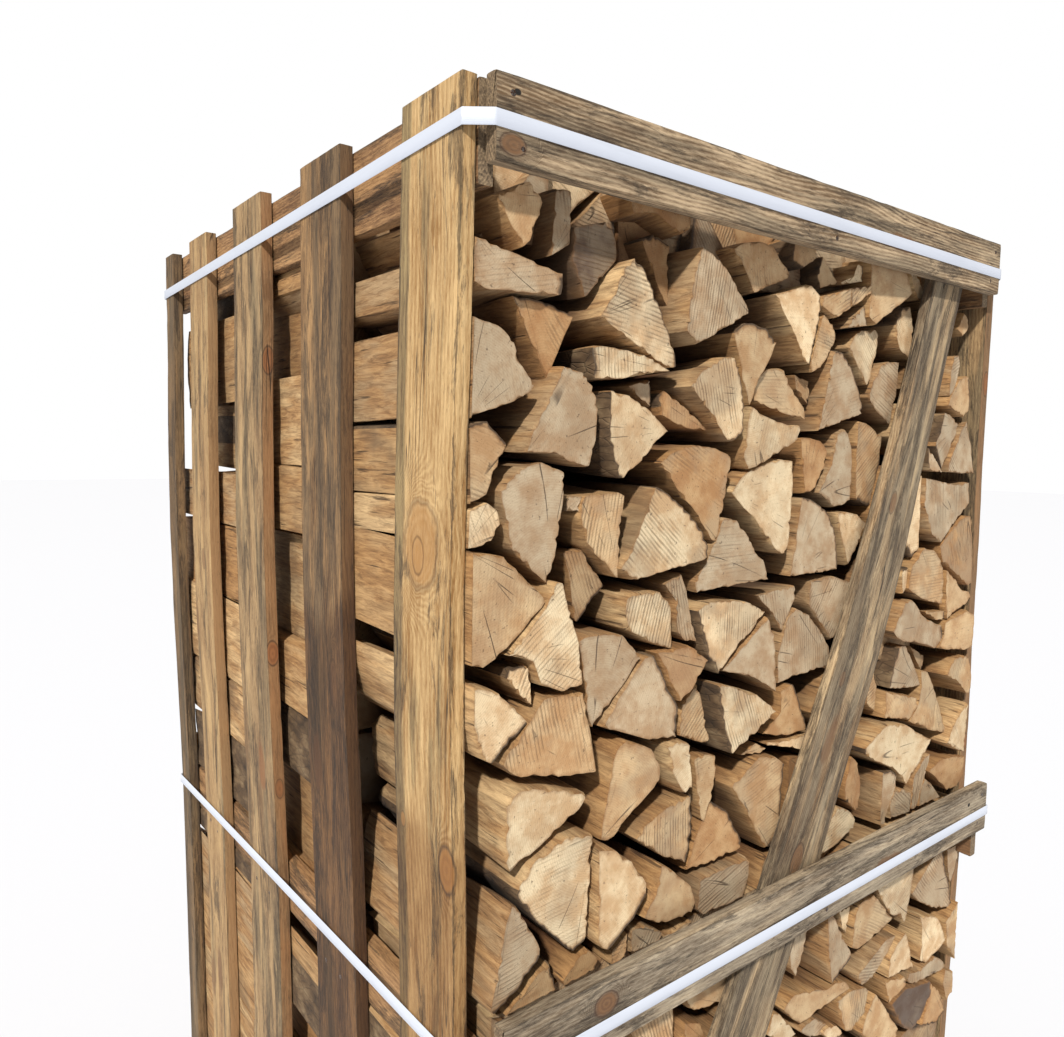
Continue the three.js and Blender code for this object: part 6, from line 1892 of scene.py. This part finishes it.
@dataclass
class Crate:
    """Slats and inner rails of the side walls, rails and braces of front and back, and the base."""

    left_knots: tuple[Knot, ...] = (
        Knot(1499, 56, 44, 33, 0.5), Knot(1488, 62, 19, 11, 0.7),
        Knot(1184, 10, 24, 15, 0.95), Knot(1205, 96, 9, 5, 0.6),
    )
    right_wall: tuple[int, ...] = (3, 5, 4, 2, 3)

    def finishes(self) -> dict[str, WeatheredBoard]:
        """The boards' finishes by the pieces that have them."""
        return {
            "left_slat_1": WeatheredBoard(
                "board_yellow_tan", pale="#d3b27f", deep="#926a38", grey="#938058", grey_share=0.36,
                mould_share=0.26, edge_mould=1.2, ring_mm=7.0, knots=self.left_knots, stray_knots=0.0,
                grey_far=92.0, low_from=1215.0, low="#d2c6b8", flame=0.07,
                knot_pale="#b78850", knot_deep="#98693a"),
            "left_slat_2": WeatheredBoard(
                "board_dark_brown", pale="#b08a5c", deep="#4f361f", grey="#7d674b", grey_share=0.6,
                mould_share=0.68, edge_mould=0.8, knots=(Knot(1310, 30, 30, 11, 0.5),), stray_knots=0.15,
                low_from=1400.0, low="#bdafa0", near_side="#533822"),
            "left_slat_3": WeatheredBoard(
                "board_streaked", pale="#bb9c70", deep="#6d5134", grey="#8b795a", grey_share=0.6,
                mould_share=0.62, stray_knots=0.1, near_side="#8c603a", knot_pale="#94623a",
                knot_deep="#633a20",
                knots=(Knot(1712, -9, 20, 8, 0.9), Knot(1302, -8, 18, 9, 1.0), Knot(1105, -9, 14, 6, 0.8))),
            "left_slat_4": WeatheredBoard(
                "board_tan", pale="#c3a373", deep="#83623f", grey="#8e7d5e", grey_share=0.45,
                mould_share=0.4, knots=(Knot(1405, 40, 16, 10, 0.6),), stray_knots=0.2,
                near_side="#8c6a48"),
            "left_slat_5": WeatheredBoard(
                "board_grey_brown", pale="#8c704e", deep="#49361f", grey="#655843", grey_share=0.6,
                mould_share=0.65, stray_knots=0.25),
            "top_rail": WeatheredBoard(
                "rail_grey_ridged", pale="#c8b08f", deep="#6d553a", grey="#8f8068", grey_share=0.62,
                mould_share=0.58, edge_mould=0.5, ring_mm=4.6, stray_knots=0.08, flame=0.12,
                knots=(Knot(19, 62, 15, 10, 0.9), Knot(23, 15, 4, 3, 1.0))),
            "middle_rail": WeatheredBoard(
                "rail_grey_mouldy", pale="#cdbb9e", deep="#7d6a52", grey="#a29682", grey_share=0.8,
                mould_share=0.62, edge_mould=0.7, stray_knots=0.05,
                knots=(Knot(132, 28, 17, 13, 0.95), Knot(925, 22, 4, 3, 1.0), Knot(944, 52, 4, 3, 1.0))),
            "brace": WeatheredBoard(
                "brace_mouldy_tan", pale="#c3ab86", deep="#74593c", grey="#8b7f6a", grey_share=0.75,
                mould_share=0.75, edge_mould=0.9, ring_mm=4.5, stray_knots=0.1,
                knots=(Knot(962, 53, 22, 15, 0.8), Knot(1478, 39, 18, 10, 0.75), Knot(1210, 30, 12, 8, 0.5))),
            "inner_rail": WeatheredBoard(
                "rail_reddish_brown", pale="#b88f61", deep="#65452a", grey="#74603f", grey_share=0.3,
                mould_share=0.6, edge_mould=0.7, stray_knots=0.35),
            "base_timber": WeatheredBoard(
                "base_timber", pale="#bb9f75", deep="#7e6243", grey="#857a6b", grey_share=0.6,
                mould_share=0.35, ring_mm=6.0),
        }

    def build(self, end: Material) -> None:
        """Makes and dresses every board and rail.

        Args:
            end: the finish of the sawn ends.
        """
        made = {key: finish.material() for key, finish in self.finishes().items()}
        for k, slat in enumerate(SLATS):
            rings, look = slat_rings(left_face, 1, BOARD, slat, k), made[f"left_slat_{k + 1}"]
            self.board(f"left_slat_{k + 1}", rings, [end, look], 1.0, k)
            rings = slat_rings(right_face, -1, RIGHT_SLAT, slat, k + 20)
            look = made[f"left_slat_{self.right_wall[k]}"]
            self.board(f"right_slat_{k + 1}", rings, [end, look], 0.98, k + 20)
        for level, rail in SIDE_RAILS.items():
            left, right, look = rail.face(True), rail.face(False), [end, made["inner_rail"]]
            rings = side_rail_rings(left, left + BOARD, rail)
            self.board(f"left_{level}_rail", rings, look, 1.0, rail.z_low)
            rings = side_rail_rings(right, right - BOARD, rail)
            self.board(f"right_{level}_rail", rings, look, 0.95, rail.z_low + 7)
        for level, rail in CROSS_RAILS.items():
            front, back = racked(rail.z_low), DEPTH + racked(rail.z_low + RAIL_HEIGHT + rail.rise)
            look = [end, made["top_rail" if level == "top" else "middle_rail"]]
            rings = cross_rail_rings(rail, front - BOARD - GAP, front - GAP)
            self.board(f"front_{level}_rail", rings, look, 1.0, 3.0)
            rings = cross_rail_rings(rail, back + BOARD + GAP, back + GAP)
            self.board(f"back_{level}_rail", rings, [end, made["left_slat_3"]], 0.95, 5.0)
        front, back = brace_rings(0.2, 1, False), brace_rings(DEPTH - 0.2, -1, True)
        self.board("front_brace", front, [end, made["brace"]], 1.0, 2.0, wane=1.8)
        self.board("back_brace", back, [end, made["left_slat_4"]], 0.95, 4.0, wane=1.8)
        self.base([end, made["base_timber"]])

    def board(self, node: str, rings: Array, materials: list[Material], shade: float,
              seed: float, wane: float = 1.0) -> None:
        """Makes one board in place of its node.

        Args:
            node: the frame's node.
            rings: its four corners along it.
            materials: sawn end and faces.
            shade: how bright it is.
            seed: its roughness and grain.
            wane: how rounded and chipped its edges are.
        """
        tone = np.array([shade, shade, shade, float(chance(seed, 77.0))])
        shell = Board(rings, float(seed), wane=wane).shell(tone)
        make_piece(node + "_board", shell, materials, [node], sharp=60)

    def base(self, materials: list[Material]) -> None:
        """Three bearers front to back and seven deck boards across them.

        Args:
            materials: sawn end and faces.
        """
        front = racked(60)
        left = float(left_face(SLAT_FOOT)) + BOARD + GAP
        right = float(right_face(SLAT_FOOT)) - RIGHT_SLAT - GAP
        bearers = {"left": left, "middle": (left + right - BEARER) / 2, "right": right - BEARER}
        for k, (side, x) in enumerate(bearers.items()):
            rings = block_rings((x, front, 0.0), (x + BEARER, front + DEPTH, BEARER))
            self.board(f"bearer_{side}", rings, materials, 0.8, 50.0 + k)
        for k in range(DECK_COUNT):
            y = front + (DEPTH - DECK_WIDE) * k / (DECK_COUNT - 1)
            rings = block_rings((left, y, BEARER + GAP), (right, y + DECK_WIDE, DECK_TOP))
            self.board(f"deck_board_{k + 1}", rings, materials, 0.95, 60.0 + k)


@dataclass
class Fasteners:
    """Two plastic straps round the crate and the nail heads in its boards.

    A rail's nails are given as a way in from its left end, its right end or its middle, and a
    share of its height; a side rail has two in each slat, at shares of the slat's width.
    A side rail's nail whose height falls in a strap's zone sits lower in the rail.
    """

    upper: Strap = Strap((1907.5, 1902.5, 1888.0, 1885.0), CROSS_RAILS["top"])
    lower: Strap = Strap((1008.0, 1027.0, 992.0, 982.0), CROSS_RAILS["middle"])
    slat_shares: tuple[float, ...] = (0.28, 0.7)
    left_end: tuple[tuple[float, float], ...] = ((18, 0.78), (30, 0.2))
    right_end: tuple[tuple[float, float], ...] = ((16, 0.8), (28, 0.22))
    middle: tuple[float, float] = (40, 0.2)
    strap_zones: tuple[tuple[float, float], ...] = ((1889, 1921), (970, 1030))

    def build(self) -> None:
        """Makes both straps in place of their nodes, and all nails as one piece."""
        look = [PlasticStrapping().material()]
        for level, strap in {"upper": self.upper, "lower": self.lower}.items():
            make_piece(f"{level}_band", strap.shell(), look, [f"{level}_strap"], sharp=50)
        nails = Nails()
        self.nail_side_walls(nails)
        self.nail_cross_rails(nails)
        make_piece("nail_heads", nails.shell(), [RustyNail().material()], [], sharp=60)

    def nail_side_walls(self, nails: Nails) -> None:
        """Two nails through each slat into each side rail, clear of the straps."""
        for k, slat in enumerate(SLATS):
            for rail in SIDE_RAILS.values():
                for part, share in enumerate(self.slat_shares):
                    z = rail.z_low + rail.height * (0.3 + 0.45 * float(chance(k + part, rail.z_low)))
                    if any(low < z < high for low, high in self.strap_zones):
                        z = rail.z_low + rail.height * 0.25
                    across = share + 0.1 * float(chance(k, part + rail.z_low))
                    y = slat.near + (slat.far - slat.near) * across + slat.lean * (z - TOP)
                    nails.drive((float(left_face(z)), y, z), (-1, 0, 0))
                    nails.drive((float(right_face(z)), y, z), (1, 0, 0))

    def nail_cross_rails(self, nails: Nails) -> None:
        """Five nails in each rail of front and back."""
        for rail in CROSS_RAILS.values():
            front = racked(rail.z_low) - BOARD - GAP
            back = DEPTH + racked(rail.z_low + RAIL_HEIGHT + rail.rise) + BOARD + GAP
            spots = [(rail.x0 + way, high) for way, high in self.left_end]
            spots += [(rail.x1 - way, high) for way, high in self.right_end]
            spots.append(((rail.x0 + rail.x1) / 2 + self.middle[0], self.middle[1]))
            for x, high in spots:
                z = rail.z_low + rail.rise * (x - rail.x0) / (rail.x1 - rail.x0) + RAIL_HEIGHT * high
                nails.drive((x, front, z), (0, -1, 0))
                nails.drive((x, back, z), (0, 1, 0))


@dataclass
class Studio:
    """Pale floor, soft sun from the upper left, pale sky, and the camera where the photo was taken."""

    position: Point = (-0.94152, -1.13333, 1.61433)
    yaw: float = -37.49
    pitch: float = -4.71
    roll: float = 0.86
    focal_px: float = 841.45
    width_px: float = 1064.0
    sensor_mm: float = 36.0
    floor_half: float = 40.0
    toward_sun: Point = (-0.60, -0.49, 0.63)

    def build(self) -> None:
        """Makes the floor, the lights and the camera."""
        mesh, far = bpy.data.meshes.new("floor"), self.floor_half
        mesh.from_pydata([(-far, -far, 0), (far, -far, 0), (far, far, 0), (-far, far, 0)], [], [(0, 1, 2, 3)])
        floor = bpy.data.objects.new("floor", mesh)
        bpy.context.collection.objects.link(floor)
        pale = Finish("pale_floor")
        uneven = pale(Node.NOISE, pale.place, 40, 2)
        mesh.materials.append(pale.finish("#e9edf5", roughness=0.9, height=uneven, depth_mm=0.1))
        self.light()
        self.camera()

    def light(self) -> None:
        """A soft warm sun and a pale even sky, brighter where the camera sees it."""
        sun = bpy.data.lights.new("sun", "SUN")
        sun.energy, sun.angle, sun.color = 4.3, math.radians(3.0), (1.0, 0.95, 0.88)
        lamp = bpy.data.objects.new("sun", sun)
        bpy.context.collection.objects.link(lamp)
        lamp.rotation_euler = self.facing(np.array(self.toward_sun)).to_euler()
        world = bpy.data.worlds.new("sky")
        bpy.context.scene.world = world
        world.use_nodes = True
        tree = world.node_tree
        tree.nodes.clear()
        seen = add_node(tree, Node.SEEN)
        strength = add_node(tree, Node.BETWEEN, seen, 0.0, 1.0, 0.37, 1.0)
        sky = add_node(tree, Node.GLOW, (1.0, 0.98, 0.95, 1.0), strength)
        white = add_node(tree, Node.GLOW, (1.0, 1.0, 1.0, 1.0), 1.0)
        add_node(tree, Node.WORLD, add_node(tree, Node.EITHER_GLOW, seen, sky, white))
        bpy.context.scene.view_settings.view_transform = "Standard"

    def facing(self, toward: Array) -> Matrix:
        """The turn whose own Z points along `toward`."""
        z = toward / np.linalg.norm(toward)
        x = np.cross([0, 0, 1.0], z)
        x /= np.linalg.norm(x)
        return Matrix(np.stack([x, np.cross(z, x), z], axis=1).tolist())

    def camera(self) -> None:
        """The camera: yaw from +Y, pitch and roll, and the focal length in pixels of the photo."""
        yaw, pitch, roll = (math.radians(v) for v in (self.yaw, self.pitch, self.roll))
        level = np.array([-math.sin(yaw), math.cos(yaw), 0.0]) * math.cos(pitch)
        ahead = level + np.array([0.0, 0.0, math.sin(pitch)])
        right = np.array([math.cos(yaw), math.sin(yaw), 0.0])
        up = np.cross(right, ahead)
        x = math.cos(roll) * right + math.sin(roll) * up
        y = -math.sin(roll) * right + math.cos(roll) * up
        data = bpy.data.cameras.new("camera")
        data.sensor_fit, data.sensor_width = "HORIZONTAL", self.sensor_mm
        data.lens = self.focal_px * self.sensor_mm / self.width_px
        data.clip_end = 200.0
        camera = bpy.data.objects.new("camera", data)
        bpy.context.collection.objects.link(camera)
        turn = Matrix(np.stack([x, y, -ahead], axis=1).tolist()).to_4x4()
        camera.matrix_world = Matrix.Translation(self.position) @ turn
        bpy.context.scene.camera = camera


def main() -> None:
    """Builds the studio, the logs, the crate and its fasteners, and notes the sizes."""
    logging.basicConfig(level=logging.INFO, format="%(name)s: %(message)s")
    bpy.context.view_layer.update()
    Studio().build()
    FirewoodPile().build([SawnBeechEnd().material(), SplitBeechSide().material(), BeechBark().material()])
    Crate().build(SawnBoardEnd().material())
    Fasteners().build()


if __name__ == "__main__":
    main()
